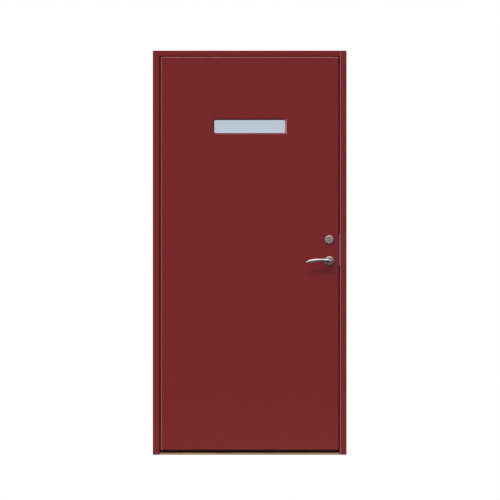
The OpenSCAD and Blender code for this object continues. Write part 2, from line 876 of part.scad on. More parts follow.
module inner_skin() color(red) difference() {
    inside = leaf_t - skin_t - cut;
    translate([0, at(leaf_t) + at(0), 0]) mirror([0, 1, 0]) skin_shell();
    window_plate(hole_w, hole_h, glass_clear, inside, leaf_t + cut);
    bead_screw_places() screw_hole(bead_screw_d, bead_screw_head, bead_screw_len);
    leaf_hinge_cuts();
    forend_blank(bond, cut);
    rod_y(lock_x, at(inside), at(leaf_t + cut), lever_z, hub_r + free_clear);
    rose_bolt_places() rod_y(0, at(inside), at(leaf_t + cut), 0, rose_bolt_d / 2 + free_clear);
    rod_y(lock_x, at(inside), at(leaf_t + cut), cam_z, turn_neck_r + free_clear);
    cylinder_bolt_places() rod_y(0, at(inside), at(leaf_t + cut), 0, rose_bolt_d / 2 + free_clear);
}

module hinge_stile() color(pine) difference() {
    filling_slice(-leaf_w / 2, stile_hinge_x, leaf_z0, leaf_z1);
    leaf_hinge_cuts();
}

module lock_stile() color(pine) difference() {
    filling_slice(stile_lock_x, leaf_w / 2, leaf_z0, leaf_z1);
    forend_blank(bond, cut);
    forend_screw_places() screw_hole(forend_screw_d, forend_screw_head, forend_screw_len);
    along_x(case_x0 - bond, case_x1 + cut)
        bar2d(at(case_d0) - bond, at(case_d1) + bond, case_z0 - bond, case_z1 + bond);
    rod_y(lock_x, at(0), at(leaf_t), lever_z, hub_r + free_clear);
    rose_bolt_places() rod_y(0, at(0), at(leaf_t), 0, rose_bolt_d / 2 + free_clear);
    rod_y(lock_x, at(0), at(mid_d), cylinder_z, cylinder_d / 2 + bond);
    rod_y(lock_x, at(mid_d), at(leaf_t), cam_z, turn_neck_r + free_clear);
    cylinder_bolt_places() rod_y(0, at(mid_d), at(leaf_t), 0, rose_bolt_d / 2 + free_clear);
}

module top_rail() color(pine) filling_slice(stile_hinge_x, stile_lock_x, rail_high_z, leaf_z1);

module bottom_rail() color(pine) filling_slice(stile_hinge_x, stile_lock_x, leaf_z0, rail_low_z);

module core() color(wool) difference() {
    filling_slice(stile_hinge_x, stile_lock_x, rail_low_z, rail_high_z);
    window_plate(hole_w + 2 * liner_t, hole_h + 2 * liner_t, 0, -cut, leaf_t + cut);
}

// Window

module window_liner() color(pine) difference() {
    window_plate(hole_w + 2 * liner_t - 2 * bond, hole_h + 2 * liner_t - 2 * bond, 0,
                 skin_t + bond, leaf_t - skin_t - bond);
    window_plate(hole_w, hole_h, glass_clear, -cut, leaf_t + cut);
    bead_screw_places() screw_hole(bead_screw_d, bead_screw_head, bead_screw_len);
}

module outer_pane() color(pale_blue) window_plate(glass_w, glass_h, pane_corner, pane_out, pane_out + pane_t);

module inner_pane() color(pale_blue) window_plate(glass_w, glass_h, pane_corner, pane_in, pane_in + pane_t);

module glass_spacer() color(zinc) difference() {
    edge = 2 * spacer_inset;
    hollow = edge + 2 * spacer_w;
    window_plate(glass_w - edge, glass_h - edge, pane_corner, pane_out + pane_t, pane_in);
    window_plate(glass_w - hollow, glass_h - hollow, pane_corner, 0, leaf_t);
}

module glazing_tapes() color(black) {
    lap = window_roll + free_clear;
    difference() {
        window_plate(glass_w, glass_h, pane_corner, skin_t, pane_out);
        window_plate(rim_w + 2 * lap, rim_h + 2 * lap, rim_corner + lap, 0, pane_out - lip_t);
        window_plate(window_w, window_h, window_corner, 0, leaf_t);
    }
    difference() {
        window_plate(glass_w, glass_h, pane_corner, pane_in + pane_t, bead_start);
        window_plate(window_w, window_h, window_corner, 0, leaf_t);
    }
}

module setting_blocks() color(black)
    for (side = [-1, 1])
        along_y(at(pane_out), at(pane_in + pane_t))
            bar2d(side * block_off - block_len / 2, side * block_off + block_len / 2,
                  window_z - hole_h / 2, window_z - glass_h / 2);

module bead_screw_places() {
    x = hole_w / 2 + bead_flange / 2;
    z = hole_h / 2 + bead_flange / 2;
    for (side = [-1, 1], up = [-1, 1])
        on_back(side * (x - bead_screw_in), window_z + up * z) translate([0, 0, bead_t]) children();
}

module window_bead() color(red) difference() {
    x = hole_w / 2 + bead_flange;
    z = hole_h / 2 + bead_flange;
    r = bead_t - bond;
    union() {
        intersection() {
            along_z(window_z - z, window_z + z) bar2d(-x, x, at(leaf_t), at(leaf_t + bead_t), [0, 0, r, r]);
            along_x(-x, x) bar2d(at(leaf_t), at(leaf_t + bead_t), window_z - z, window_z + z, [0, r, r, 0]);
        }
        window_plate(hole_w - 2 * bond, hole_h - 2 * bond, glass_clear, bead_start, leaf_t + bead_t / 2);
    }
    window_plate(window_w, window_h, window_corner, 0, leaf_t + bead_t + cut);
    bead_screw_places() screw_hole(bead_screw_d, bead_screw_head, bead_screw_len);
}

module window_bead_screws() color(zinc)
    bead_screw_places() screw(bead_screw_d, bead_screw_head, bead_screw_len);

// Lock

module forend_blank(grow, run) {
    r = forend_w / 2 + grow;
    along_x(case_x1 - grow, leaf_w / 2 + run)
        bar2d(at(mid_d) - r, at(mid_d) + r, forend_z0 - grow, forend_z1 + grow, [r, r, r, r]);
}

module forend_screw_places() {
    for (z = [forend_z0 + forend_screw_in, forend_z1 - forend_screw_in])
        translate([leaf_w / 2, at(mid_d), z]) rotate([0, 90, 0]) children();
}

module lock_forend() color(steel) difference() {
    forend_blank(0, 0);
    bolt_windows(case_x1 - cut, leaf_w / 2 + cut, free_clear);
    forend_screw_places() screw_hole(forend_screw_d, forend_screw_head, forend_screw_len);
}

module forend_screws() color(zinc)
    forend_screw_places() screw(forend_screw_d, forend_screw_head, forend_screw_len);

module rose_bolt_places() {
    for (side = [-1, 1]) translate([lock_x + side * rose_bolt_off, 0, lever_z]) children();
}

module cylinder_bolt_places() {
    for (side = [-1, 1]) translate([lock_x + side * cylinder_screw_off, 0, cylinder_z]) children();
}

module case_bores(d0, d1) {
    rod_y(lock_x, at(d0), at(d1), lever_z, journal_r + run_clear);
    rod_y(lock_x, at(d0), at(d1), cam_z, cam_r + run_clear);
    rose_bolt_places() rod_y(0, at(d0), at(d1), 0, rose_bolt_d / 2 + free_clear);
    cylinder_bolt_places() rod_y(0, at(d0), at(d1), 0, rose_bolt_d / 2 + free_clear);
}

module lock_case() color(zinc) difference() {
    union() {
        difference() {
            along_x(case_x0, case_x1) bar2d(at(case_d0), at(case_d1 - case_wall), case_z0, case_z1);
            along_x(case_x0 + case_wall, case_x1 - case_wall)
                bar2d(at(case_d0 + case_wall), at(case_d1), case_z0 + case_wall, case_z1 - case_wall);
        }
        along_x(spring_x - spring_seat_t, spring_x)
            bar2d(at(case_d0), at(case_d1 - case_wall - free_clear),
                  spring_z - spring_r, spring_z + spring_r);
    }
    bolt_windows(case_x1 - case_wall - cut, case_x1 + cut, free_clear);
    case_bores(case_d0 - cut, case_d1 + cut);
}

module lock_cover() color(zinc) difference() {
    along_x(case_x0, case_x1) bar2d(at(case_d1 - case_wall), at(case_d1), case_z0, case_z1);
    case_bores(case_d0 - cut, case_d1 + cut);
}

module latch_bolt() color(steel) union() {
    along_z(latch_z - latch_h / 2, latch_z + latch_h / 2) difference() {
        bar2d(latch_x0, latch_x1, at(mid_d - key_t / 2), at(mid_d + key_t / 2));
        polygon([
            [latch_x1 + cut, at(mid_d + key_t / 2) - latch_bevel],
            [latch_x1, at(mid_d + key_t / 2) - latch_bevel],
            [latch_x1 - latch_bevel, at(mid_d + key_t / 2)],
            [latch_x1 - latch_bevel, at(mid_d + key_t / 2) + cut],
            [latch_x1 + cut, at(mid_d + key_t / 2) + cut]
        ]);
    }
    along_x(lock_x - tail_reach, latch_x0 + cut)
        bar2d(at(mid_d - tail_t / 2), at(mid_d + tail_t / 2), tail_z - tail_h / 2, tail_z + tail_h / 2);
}

// Coil from its seat on the case to the back of the latch
module latch_spring() color(steel) {
    count = spring_turns * spring_steps;
    x0 = spring_x + spring_wire_r + bond;
    run = latch_x0 - bond - spring_wire_r - x0;
    points = [for (i = [0:count], j = [0:spring_sides - 1])
        let (a = 360 * i / spring_steps, b = 360 * j / spring_sides)
        let (r = spring_r - spring_wire_r * (1 - cos(b)))
        [x0 + run * i / count + spring_wire_r * sin(b), at(mid_d) + r * cos(a), spring_z + r * sin(a)]];
    sides = [for (i = [0:count - 1], j = [0:spring_sides - 1])
        let (k = (j + 1) % spring_sides)
        let (low = i * spring_sides, high = low + spring_sides)
        [low + j, high + j, high + k, low + k]];
    ends = [
        [for (j = [0:spring_sides - 1]) j],
        [for (j = [spring_sides - 1:-1:0]) count * spring_sides + j]
    ];
    polyhedron(points, concat(sides, ends));
}

module deadbolt() color(steel)
    along_x(latch_x1 - bolt_len, latch_x1) key_window(bolt_z, bolt_h, 0);

module bolt_cam() color(zinc) difference() {
    inner = case_wall + free_clear;
    union() {
        rod_y(lock_x, at(case_d0), at(case_d1), cam_z, cam_r);
        along_y(at(case_d0 + inner), at(case_d1 - inner))
            bar2d(lock_x - cam_finger_w / 2, lock_x + cam_finger_w / 2, cam_z - cam_finger, cam_z);
    }
    turn_bar(case_d0 - cut, case_d1 + cut, free_clear);
}

// Flat bar on the key's axis
module turn_bar(d0, d1, room) {
    along_y(at(d0), at(d1)) translate([lock_x, cam_z]) plate2d(bar_t + 2 * room, bar_w + 2 * room, 0);
}

module follower() color(zinc) difference() {
    inner = case_wall + free_clear;
    union() {
        rod_y(lock_x, at(case_d0), at(case_d1), lever_z, journal_r);
        rod_y(lock_x, at(case_d0 + inner), at(case_d1 - inner), lever_z, follower_r);
    }
    spindle_square(case_d0 - cut, case_d1 + cut, bond);
}

module spindle_square(d0, d1, room) {
    along_y(at(d0), at(d1)) translate([lock_x, lever_z]) plate2d(spindle + 2 * room, spindle + 2 * room, 0);
}

module spindle_bar() color(steel) spindle_square(-spindle_end, leaf_t + spindle_end, 0);

// Handles, drawn with the leaf's face at height zero

module rose(d, t, bore, land, dish) {
    crest = d / 2 - rose_rim;
    rotate_extrude() difference() {
        bar2d(bore, d / 2, 0, t, [0, 0, rose_rim, 0]);
        polygon([
            [bore - cut, t - dish],
            [bore + land, t - dish],
            [crest, t],
            [crest, t + cut],
            [bore - cut, t + cut]
        ]);
    }
}

module outer_rose() color(steel) difference() {
    on_front(lock_x, lever_z) rose(rose_d, rose_t, hub_r + free_clear, rose_land, rose_dish);
    rose_bolt_places() rod_y(0, at(-rose_bolt_grip), at(cut), 0, rose_bolt_d / 2 + bond);
}

module inner_rose() color(steel) difference() {
    on_back(lock_x, lever_z) rose(rose_d, rose_t, hub_r + free_clear, rose_land, rose_dish);
    rose_bolts_at(true);
}

// Bolts that clamp the roses through the leaf, and those that hold the key cylinder
module rose_bolts_at(hole) {
    rose_len = leaf_t + rose_t - rose_dish + rose_bolt_grip - bond;
    turn_len_bolt = leaf_t - case_d0 + turn_rose_t - rose_dish + cylinder_screw_grip;
    for (side = [-1, 1]) {
        on_back(lock_x + side * rose_bolt_off, lever_z) translate([0, 0, rose_t - rose_dish])
            bolt_or_hole(rose_len, hole);
        on_back(lock_x + side * cylinder_screw_off, cylinder_z) translate([0, 0, turn_rose_t - rose_dish])
            bolt_or_hole(turn_len_bolt, hole);
    }
}

module bolt_or_hole(len, hole) {
    if (hole)
        screw_hole(rose_bolt_d, rose_bolt_head, len, rose_dish + cut);
    else
        screw(rose_bolt_d, rose_bolt_head, len);
}

module rose_bolts() color(zinc) rose_bolts_at(false);

function ease(t) = t <= 0 ? 0 : t >= 1 ? 1 : t * t * (3 - 2 * t);

// Sections along the lever: sideways and outward place, turn, half height, half thickness, rise
function lever_rise(x) =
    grip_rise * ease(x / neck_x) - grip_droop * pow(max(0, x - neck_x) / (lever_len - neck_x), grip_curve);
function lever_half(x) =
    x < neck_x ? neck_r + (grip_neck - neck_r) * ease(x / neck_x) :
    x < belly_x ? grip_neck + (lever_belly / 2 - grip_neck) * ease((x - neck_x) / (belly_x - neck_x)) :
    max(tip_h, lever_belly / 2 * pow(1 - pow(min(1, (x - belly_x) / (lever_len - belly_x)), 2), 0.8));
function lever_thick(x) =
    neck_r + (grip_t - neck_r) * ease(x / neck_x)
    - (grip_t - tip_t) * pow(max(0, x - belly_x) / (lever_len - belly_x), 2);
function lever_section(x, out, turn) = [x, out, turn, lever_half(x), lever_thick(x), lever_rise(x)];

module lever_grip() {
    neck = hub_end - hub_lap;
    sections = concat(
        [for (i = [0:neck_steps - 1])
            lever_section(0, neck + (lever_reach - bend_r - neck) * i / neck_steps, 0)],
        [for (i = [0:bend_steps - 1])
            let (a = 90 * i / bend_steps)
            lever_section(bend_r * (1 - cos(a)), lever_reach - bend_r * (1 - sin(a)), a)],
        [for (i = [0:grip_steps])
            let (x = bend_r + (lever_len - bend_r) * (1 - pow(1 - i / grip_steps, 1.3)))
            lever_section(x, lever_reach, 90)]
    );
    count = len(sections);
    n = lever_sides;
    points = [for (s = sections, j = [0:n - 1])
        let (b = 360 * j / n, side = s[4] * cos(b), up = s[5] + s[3] * sin(b))
        [side * cos(s[2]) - s[0], up, s[1] + side * sin(s[2])]];
    faces = [for (i = [0:count - 2], j = [0:n - 1])
        let (k = (j + 1) % n)
        [i * n + j, (i + 1) * n + j, (i + 1) * n + k, i * n + k]];
    ends = [
        [for (j = [0:n - 1]) j],
        [for (j = [n - 1:-1:0]) (count - 1) * n + j]
    ];
    polyhedron(points, concat(faces, ends));
}

module lever() difference() {
    union() {
        rotate_extrude() bar2d(0, hub_r, hub_start, hub_end);
        lever_grip();
    }
    side = spindle + 2 * bond;
    translate([-side / 2, -side / 2, 0]) cube([side, side, spindle_end + bond]);
    grub(grub_d / 2 + bond, neck_r);
}

module grub(r, end) {
    translate([0, 0, grub_out]) rotate([90, 0, 0]) translate([0, 0, spindle / 2])
        cylinder(h = end - spindle / 2, r = r);
}

module outer_lever() color(steel) on_front(lock_x, lever_z) lever();

module inner_lever() color(steel) on_back(lock_x, lever_z) lever();

module lever_grubs() color(black) {
    on_front(lock_x, lever_z) grub(grub_d / 2, neck_r - grub_sunk);
    on_back(lock_x, lever_z) grub(grub_d / 2, neck_r - grub_sunk);
}

module cylinder_ring() color(steel)
    on_front(lock_x, cylinder_z) rose(ring_d, ring_t, cylinder_d / 2 + bond, ring_land, ring_dish);

module cylinder_body() color(steel) difference() {
    rod_y(lock_x, at(-cylinder_out), at(case_d0 - bond), cylinder_z, cylinder_d / 2);
    rod_y(lock_x, at(-cylinder_out - cut), at(case_d0 + cut), cam_z, plug_r + run_clear);
    cylinder_bolt_places()
        rod_y(0, at(case_d0 - cylinder_screw_grip) - bond, at(case_d0 + cut), 0, rose_bolt_d / 2 + bond);
}

module key_plug() color(steel) difference() {
    union() {
        on_front(lock_x, cam_z) rotate_extrude()
            bar2d(0, plug_r, free_clear - case_d0, cylinder_out + plug_out, [0, 0, plug_round, 0]);
        turn_bar(0, mid_d - free_clear, 0);
    }
    translate([lock_x, 0, cam_z]) rotate([0, key_lean, 0])
        along_y(at(-cylinder_out - plug_out - cut), at(key_slot_deep - cylinder_out))
            plate2d(key_slot_w, key_slot_h, 0);
}

module turn_rose() color(steel) difference() {
    on_back(lock_x, cam_z) rose(turn_rose_d, turn_rose_t, turn_neck_r + free_clear, rose_land, rose_dish);
    rose_bolts_at(true);
}

module thumbturn() color(steel) union() {
    on_back(lock_x, cam_z) {
        rotate_extrude() bar2d(0, turn_neck_r, hub_start, turn_in + cut);
        intersection() {
            along_z(turn_in, turn_out) plate2d(turn_t, turn_len, turn_t / 2);
            along_x(-turn_t, turn_t)
                bar2d(-turn_len / 2, turn_len / 2, turn_in, turn_out, [0, 0, turn_round, turn_round]);
            along_y(-turn_len, turn_len)
                bar2d(-turn_t / 2, turn_t / 2, turn_in, turn_out, [0, 0, turn_round, turn_round]);
        }
    }
    turn_bar(mid_d + free_clear, leaf_t + turn_in, 0);
}

frame_head();
hinge_jamb();
lock_jamb();
sill();
frame_seal();
corner_screws();
strike_plate();
strike_box();
strike_screws();
hinge_frame_body_bottom();
hinge_frame_body_middle();
hinge_frame_body_top();
hinge_leaf_body_bottom();
hinge_leaf_body_middle();
hinge_leaf_body_top();
frame_arm_bottom();
frame_arm_middle();
frame_arm_top();
leaf_arm_bottom();
leaf_arm_middle();
leaf_arm_top();
hinge_frame_screws();
hinge_leaf_screws();
outer_skin();
inner_skin();
hinge_stile();
lock_stile();
top_rail();
bottom_rail();
core();
window_liner();
outer_pane();
inner_pane();
glass_spacer();
glazing_tapes();
setting_blocks();
window_bead();
window_bead_screws();
lock_case();
lock_cover();
lock_forend();
forend_screws();
latch_bolt();
latch_spring();
deadbolt();
bolt_cam();
follower();
spindle_bar();
outer_lever();
inner_lever();
lever_grubs();
outer_rose();
inner_rose();
rose_bolts();
cylinder_ring();
cylinder_body();
key_plug();
turn_rose();
thumbturn();
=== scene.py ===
"""A flush red door with a letterbox window, in its timber frame: finishes, finer pieces, light and camera.

The scene is in metres, +Z up. The outside of the door faces -Y, and the origin is on the floor in the middle
of the frame. Finishes and the studio hold their sizes in metres, and sub-assemblies and screws in millimetres.
"""

import logging
import math
from dataclasses import dataclass, field, replace
from enum import Enum

import bpy
import numpy as np
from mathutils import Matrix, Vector

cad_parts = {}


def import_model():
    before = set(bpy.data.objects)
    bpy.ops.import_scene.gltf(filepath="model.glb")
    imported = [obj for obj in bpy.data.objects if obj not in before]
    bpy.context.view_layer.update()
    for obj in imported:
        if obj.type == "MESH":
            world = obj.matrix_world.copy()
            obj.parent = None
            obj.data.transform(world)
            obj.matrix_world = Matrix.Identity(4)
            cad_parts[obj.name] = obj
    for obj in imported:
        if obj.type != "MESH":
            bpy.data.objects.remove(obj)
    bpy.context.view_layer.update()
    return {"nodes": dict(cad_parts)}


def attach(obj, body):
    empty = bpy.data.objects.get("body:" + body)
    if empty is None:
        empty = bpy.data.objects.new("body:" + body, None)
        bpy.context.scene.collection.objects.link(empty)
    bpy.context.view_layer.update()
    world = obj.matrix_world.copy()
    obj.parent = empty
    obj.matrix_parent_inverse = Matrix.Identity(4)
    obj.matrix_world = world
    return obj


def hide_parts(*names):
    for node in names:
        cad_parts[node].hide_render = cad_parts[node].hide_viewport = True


LOG = logging.getLogger("door")
MM = 0.001
FULL_TURN = 2.0 * np.pi
QUARTER_TURN = np.pi / 2.0
SIDES = (-1.0, 1.0)

Rgb = tuple[float, float, float]
Point = tuple[float, float, float]
Span = tuple[float, float]
Piece = bpy.types.Object
Nodes = dict[str, Piece]
Node = bpy.types.Node
Socket = bpy.types.NodeSocket
Outputs = bpy.types.NodeOutputs
Tree = bpy.types.NodeTree

# Display colours that more than one finish uses, or that lie on top of a finish.
RED: Rgb = (113.0, 21.5, 24.5)
# Painted highlight on the edges of the leaf and bead and on the lock-side arris of the frame.
HIGHLIGHT_RED: Rgb = (165.0, 98.0, 97.0)
# Painted highlight on the crown of the window's rolled edge, lock side.
CROWN_HIGHLIGHT: Rgb = (190.0, 138.0, 140.0)
# Painted highlight along the head-to-jamb joint.
JOINT_HIGHLIGHT: Rgb = (150.0, 92.0, 90.0)
# Painted shade in the window's rolled edge.
ROLL_SHADE: Rgb = (22.0, 5.0, 6.0)
# Painted shade in the gap beside the lock-side arris.
GAP_SHADE: Rgb = (26.0, 7.0, 7.0)
# Painted shade on the sill in the gap under the leaf.
SILL_GAP_SHADE: Rgb = (30.0, 18.0, 7.0)
# Painted shade under the lever's neck.
NECK_SHADE: Rgb = (46.0, 43.0, 43.0)
# Painted shade in the key plug's keyway.
KEYWAY_SHADE: Rgb = (26.0, 24.0, 22.0)
DUST: Rgb = (140.0, 110.0, 100.0)
WARM_ZINC: Rgb = (178.0, 170.0, 150.0)

# Where most values of a cloudy noise lie.
CLOUD: Span = (0.3, 0.7)
# Stretch of the streaks along which steel was drawn.
DRAW = 0.02


class Grain(Enum):
    """Which way the fibres of a timber piece run, as the stretch of its pattern along X, Y and Z."""

    UPRIGHT = (1.0, 1.0, 0.035)
    LEVEL = (0.035, 1.0, 1.0)


class Polish(Enum):
    """How a steel piece was worked: turned on a lathe, or drawn along its length."""

    TURNED = "turned"
    DRAWN_LEVEL = "drawn_level"
    DRAWN_UPRIGHT = "drawn_upright"


class Facing(Enum):
    """Which way the head of a screw faces."""

    LOCK = (1.0, 0.0, 0.0)
    HINGE = (-1.0, 0.0, 0.0)
    INSIDE = (0.0, 1.0, 0.0)


def tone(shade: Rgb) -> tuple[float, float, float, float]:
    """Turns a display colour into the linear colour that a shader takes.

    Args:
        shade: Red, green and blue from 0 to 255.

    Returns:
        Linear red, green, blue and an alpha of 1.
    """
    part = np.asarray(shade, dtype=float) / 255.0
    linear = np.where(part <= 0.04045, part / 12.92, ((part + 0.055) / 1.055) ** 2.4)
    return float(linear[0]), float(linear[1]), float(linear[2]), 1.0


def scaled(shade: Rgb, factor: float) -> Rgb:
    """Gives a display colour made lighter or darker by a factor."""
    return shade[0] * factor, shade[1] * factor, shade[2] * factor


def ease(share: np.ndarray) -> np.ndarray:
    """Rises smoothly from 0 to 1: 3 t^2 - 2 t^3 of the share, held at its ends."""
    held = np.clip(share, 0.0, 1.0)
    return held * held * (3.0 - 2.0 * held)


class Board:
    """A node tree with short calls that add, set and join its nodes."""

    def __init__(self, tree: Tree) -> None:
        """Keeps the tree that the nodes go into."""
        self.tree = tree

    def fill(self, node: Node, inputs: dict) -> None:
        """Sets inputs of a node, or joins outputs to them.

        Args:
            node: Node to fill.
            inputs: Value, or output to join, for each named or numbered input.
        """
        for key, value in inputs.items():
            if isinstance(value, Socket):
                self.tree.links.new(value, node.inputs[key])
            else:
                node.inputs[key].default_value = value

    def feed(self, shader: Node, **inputs: object) -> None:
        """Fills a shader's inputs, with underscores in place of the spaces in their names."""
        self.fill(shader, {key.replace("_", " "): value for key, value in inputs.items()})

    def put(self, kind: str, inputs: dict | None = None, **settings: object) -> Node:
        """Adds a node.

        Args:
            kind: Type name of the node.
            inputs: Value, or output to join, for each named or numbered input.
            **settings: Properties of the node itself.

        Returns:
            The new node.
        """
        node = self.tree.nodes.new(kind)
        for name, value in settings.items():
            setattr(node, name, value)
        self.fill(node, inputs or {})
        return node

    def use(self, group: Tree, **values: object) -> Outputs:
        """Places a shared group with its own values and returns its outputs."""
        return self.put("ShaderNodeGroup", values, node_tree=group).outputs

    def math(self, operation: str, *values: object) -> Socket:
        """Joins numbers or outputs with one arithmetic node and returns its output."""
        return self.put("ShaderNodeMath", dict(enumerate(values)), operation=operation).outputs[0]

    def times(self, first: object, second: object) -> Socket:
        """Multiplies two numbers or outputs."""
        return self.math("MULTIPLY", first, second)

    def most(self, first: object, second: object) -> Socket:
        """Gives the larger of two numbers or outputs."""
        return self.math("MAXIMUM", first, second)

    def ramp(self, value: object, slope: object, start: object) -> Socket:
        """Gives start plus slope times the value."""
        return self.math("MULTIPLY_ADD", value, slope, start)

    def apart(self, value: object, mark: float) -> Socket:
        """Gives how far a value is from a mark, on either side."""
        return self.math("ABSOLUTE", self.math("SUBTRACT", value, mark))

    def span(self, value: object, low: float, high: float, to_low: float = 0.0, to_high: float = 1.0) -> Socket:
        """Carries a value smoothly from one range into another.

        Args:
            value: Output that changes over the surface.
            low: Value that gives to_low.
            high: Value that gives to_high.
            to_low: Result at the low end.
            to_high: Result at the high end.

        Returns:
            The output of the range node.
        """
        ends = {"Value": value, "From Min": low, "From Max": high, "To Min": to_low, "To Max": to_high}
        return self.put("ShaderNodeMapRange", ends, interpolation_type="SMOOTHSTEP").outputs[0]

    def fall(self, value: object, low: float, high: float, share: float = 1.0) -> Socket:
        """Falls smoothly from a share to 0 as the value goes from low to high."""
        return self.span(value, low, high, share, 0.0)

    def blend(self, share: object, first: Socket | Rgb, second: Socket | Rgb) -> Socket:
        """Blends two colours, each an output or a display colour, by a share."""
        start, end = (part if isinstance(part, Socket) else tone(part) for part in (first, second))
        return self.put("ShaderNodeMix", {0: share, 6: start, 7: end}, data_type="RGBA").outputs[2]

    def drift(self, share: object, shade: Rgb, low: float, high: float) -> Socket:
        """Lets a share carry a display colour between two factors of itself."""
        return self.blend(share, scaled(shade, low), scaled(shade, high))

    def noise(self, vector: Socket, scale: object, detail: float = 2.0, rough: float = 0.5,
              warp: float = 0.0) -> Socket:
        """Adds cloudy noise.

        Args:
            vector: Place on the surface.
            scale: Clouds per metre.
            detail: Octaves of finer clouds.
            rough: Weight of the finer clouds.
            warp: How far the clouds are pulled about.

        Returns:
            The noise's value, about 0.5 in the middle.
        """
        inputs = {"Vector": vector, "Scale": scale, "Detail": detail, "Roughness": rough, "Distortion": warp}
        return self.put("ShaderNodeTexNoise", inputs).outputs[0]

    def bump(self, height: Socket, strength: float, depth: float) -> Socket:
        """Turns a height into a normal of that strength and depth in metres."""
        inputs = {"Strength": strength, "Distance": depth, "Height": height}
        return self.put("ShaderNodeBump", inputs).outputs[0]

    def spot(self) -> Socket:
        """Gives the bare place on the piece."""
        return self.put("ShaderNodeTexCoord").outputs["Object"]

    def place(self, stretch: Point = (1.0, 1.0, 1.0), middle: Point = (0.0, 0.0, 0.0)) -> Socket:
        """Gives the place on the piece, seen from a middle and stretched along its axes."""
        shift = tuple(-m * s for m, s in zip(middle, stretch))
        inputs = {"Vector": self.spot(), "Location": shift, "Scale": stretch}
        return self.put("ShaderNodeMapping", inputs).outputs[0]

    def split(self, place: Socket) -> Outputs:
        """Splits a place into its X, Y and Z."""
        return self.put("ShaderNodeSeparateXYZ", {0: place}).outputs

    def from_axis(self, part: Outputs) -> Socket:
        """Gives the distance from the Y axis: the root of X squared plus Z squared."""
        return self.math("SQRT", self.ramp(part["Z"], part["Z"], self.times(part["X"], part["X"])))


class Effects:
    """The surface effects that several finishes share, each a node group that is built once."""

    def __init__(self) -> None:
        """Builds every group."""
        self.coat = self._coat()
        self.timber = self._timber()
        self.streaks = self._streaks()
        self.turning = self._turning()
        self.sheen_and_dust = self._sheen_and_dust()

    @staticmethod
    def _open(name: str, inputs: tuple[str, ...], outputs: tuple[str, ...]) -> tuple[Board, Outputs, Node]:
        """Starts a group that has a place on the surface as its first input.

        Args:
            name: Name of the group.
            inputs: Names of the numbers that each finish gives it.
            outputs: Names of the values that the group gives.

        Returns:
            The group's board, what it is given, and its output node.
        """
        group = bpy.data.node_groups.new(name, "ShaderNodeTree")
        group.interface.new_socket(name="Place", in_out="INPUT", socket_type="NodeSocketVector")
        for way, names in (("INPUT", inputs), ("OUTPUT", outputs)):
            for key in names:
                group.interface.new_socket(name=key, in_out=way, socket_type="NodeSocketFloat")
        board = Board(group)
        return board, board.put("NodeGroupInput").outputs, board.put("NodeGroupOutput")

    def _coat(self) -> Tree:
        """A sprayed or rolled coat: fine orange peel, a slow drift of shade, and handling marks."""
        board, given, out = self._open("coat", ("Peel", "Drift"), ("Height", "Shade", "Marks"))
        place = given["Place"]
        peel = board.noise(place, given["Peel"], rough=0.55)
        slow = board.noise(place, given["Drift"], detail=3.0, rough=0.6)
        marks = board.noise(place, board.times(given["Drift"], 5.0), detail=4.0, rough=0.65, warp=0.8)
        board.fill(out, {"Height": peel, "Shade": board.span(slow, *CLOUD),
                         "Marks": board.span(marks, 0.5, 0.72)})
        return board.tree

    def _timber(self) -> Tree:
        """Sawn timber: growth rings folded out of slow noise, fibres, and short dark pores."""
        board, given, out = self._open("timber", ("Rings", "Fibres"), ("Rings", "Fibres", "Pores"))
        place = given["Place"]
        slow = board.noise(place, given["Rings"], rough=0.45, warp=0.6)
        rings = board.math("PINGPONG", board.times(slow, 9.0), 0.5)
        fibres = board.noise(place, given["Fibres"], detail=3.0, rough=0.6)
        pores = board.noise(place, board.times(given["Fibres"], 0.6), detail=1.0)
        board.fill(out, {"Rings": board.times(rings, 2.0), "Fibres": board.span(fibres, *CLOUD),
                         "Pores": board.span(pores, 0.6, 0.72)})
        return board.tree

    def _streaks(self) -> Tree:
        """Drawn or brushed metal: streaks along the stretched axis of the place, and faint finger marks."""
        board, given, out = self._open("streaks", ("Lines", "Marks"), ("Lines", "Marks"))
        lines = board.noise(given["Place"], given["Lines"], rough=0.6)
        marks = board.noise(board.spot(), given["Marks"], detail=3.0, rough=0.6, warp=0.5)
        board.fill(out, {"Lines": board.span(lines, *CLOUD), "Marks": board.span(marks, 0.45, 0.7)})
        return board.tree

    def _turning(self) -> Tree:
        """Turned metal: noise of the distance from the Y axis through the place's middle, so rings round it."""
        board, given, out = self._open("turning", ("Lines",), ("Lines",))
        part = board.split(given["Place"])
        ends = {"X": board.from_axis(part), "Y": board.times(part["Y"], 0.2)}
        rings = board.put("ShaderNodeCombineXYZ", ends).outputs[0]
        board.fill(out, {"Lines": board.span(board.noise(rings, given["Lines"], rough=0.6), *CLOUD)})
        return board.tree

    def _sheen_and_dust(self) -> Tree:
        """A painted highlight inside a panel's edges, a little of it edge wear, broken up by noise: wide on the
        hinge side and along the top, where the light falls; and a share that fades up from the panel's foot.
        """
        board, given, out = self._open("sheen_and_dust", ("Side", "Low", "High", "Reach"), ("Highlight", "Foot"))
        part = board.split(given["Place"])
        narrow = board.times(given["Reach"], 0.6)
        hinge = board.math("ADD", given["Side"], part["X"])
        lock = board.math("ADD", board.math("SUBTRACT", given["Side"], part["X"]), narrow)
        low = board.math("SUBTRACT", part["Z"], given["Low"])
        high = board.math("SUBTRACT", given["High"], part["Z"])
        wide = board.math("MINIMUM", hinge, high)
        near = board.math("MINIMUM", wide, board.math("MINIMUM", lock, board.math("ADD", low, narrow)))
        share = board.math("DIVIDE", near, given["Reach"])
        patch = board.noise(given["Place"], 60.0, detail=3.0, rough=0.65)
        broken = board.math("ADD", patch, board.math("SUBTRACT", share, 0.5))
        crest = board.times(board.fall(broken, 0.4, 1.1), board.span(share, 0.1, 0.4))
        foot = board.math("DIVIDE", low, board.times(given["Reach"], 40.0))
        board.fill(out, {"Highlight": crest, "Foot": board.fall(foot, 0.0, 1.0)})
        return board.tree


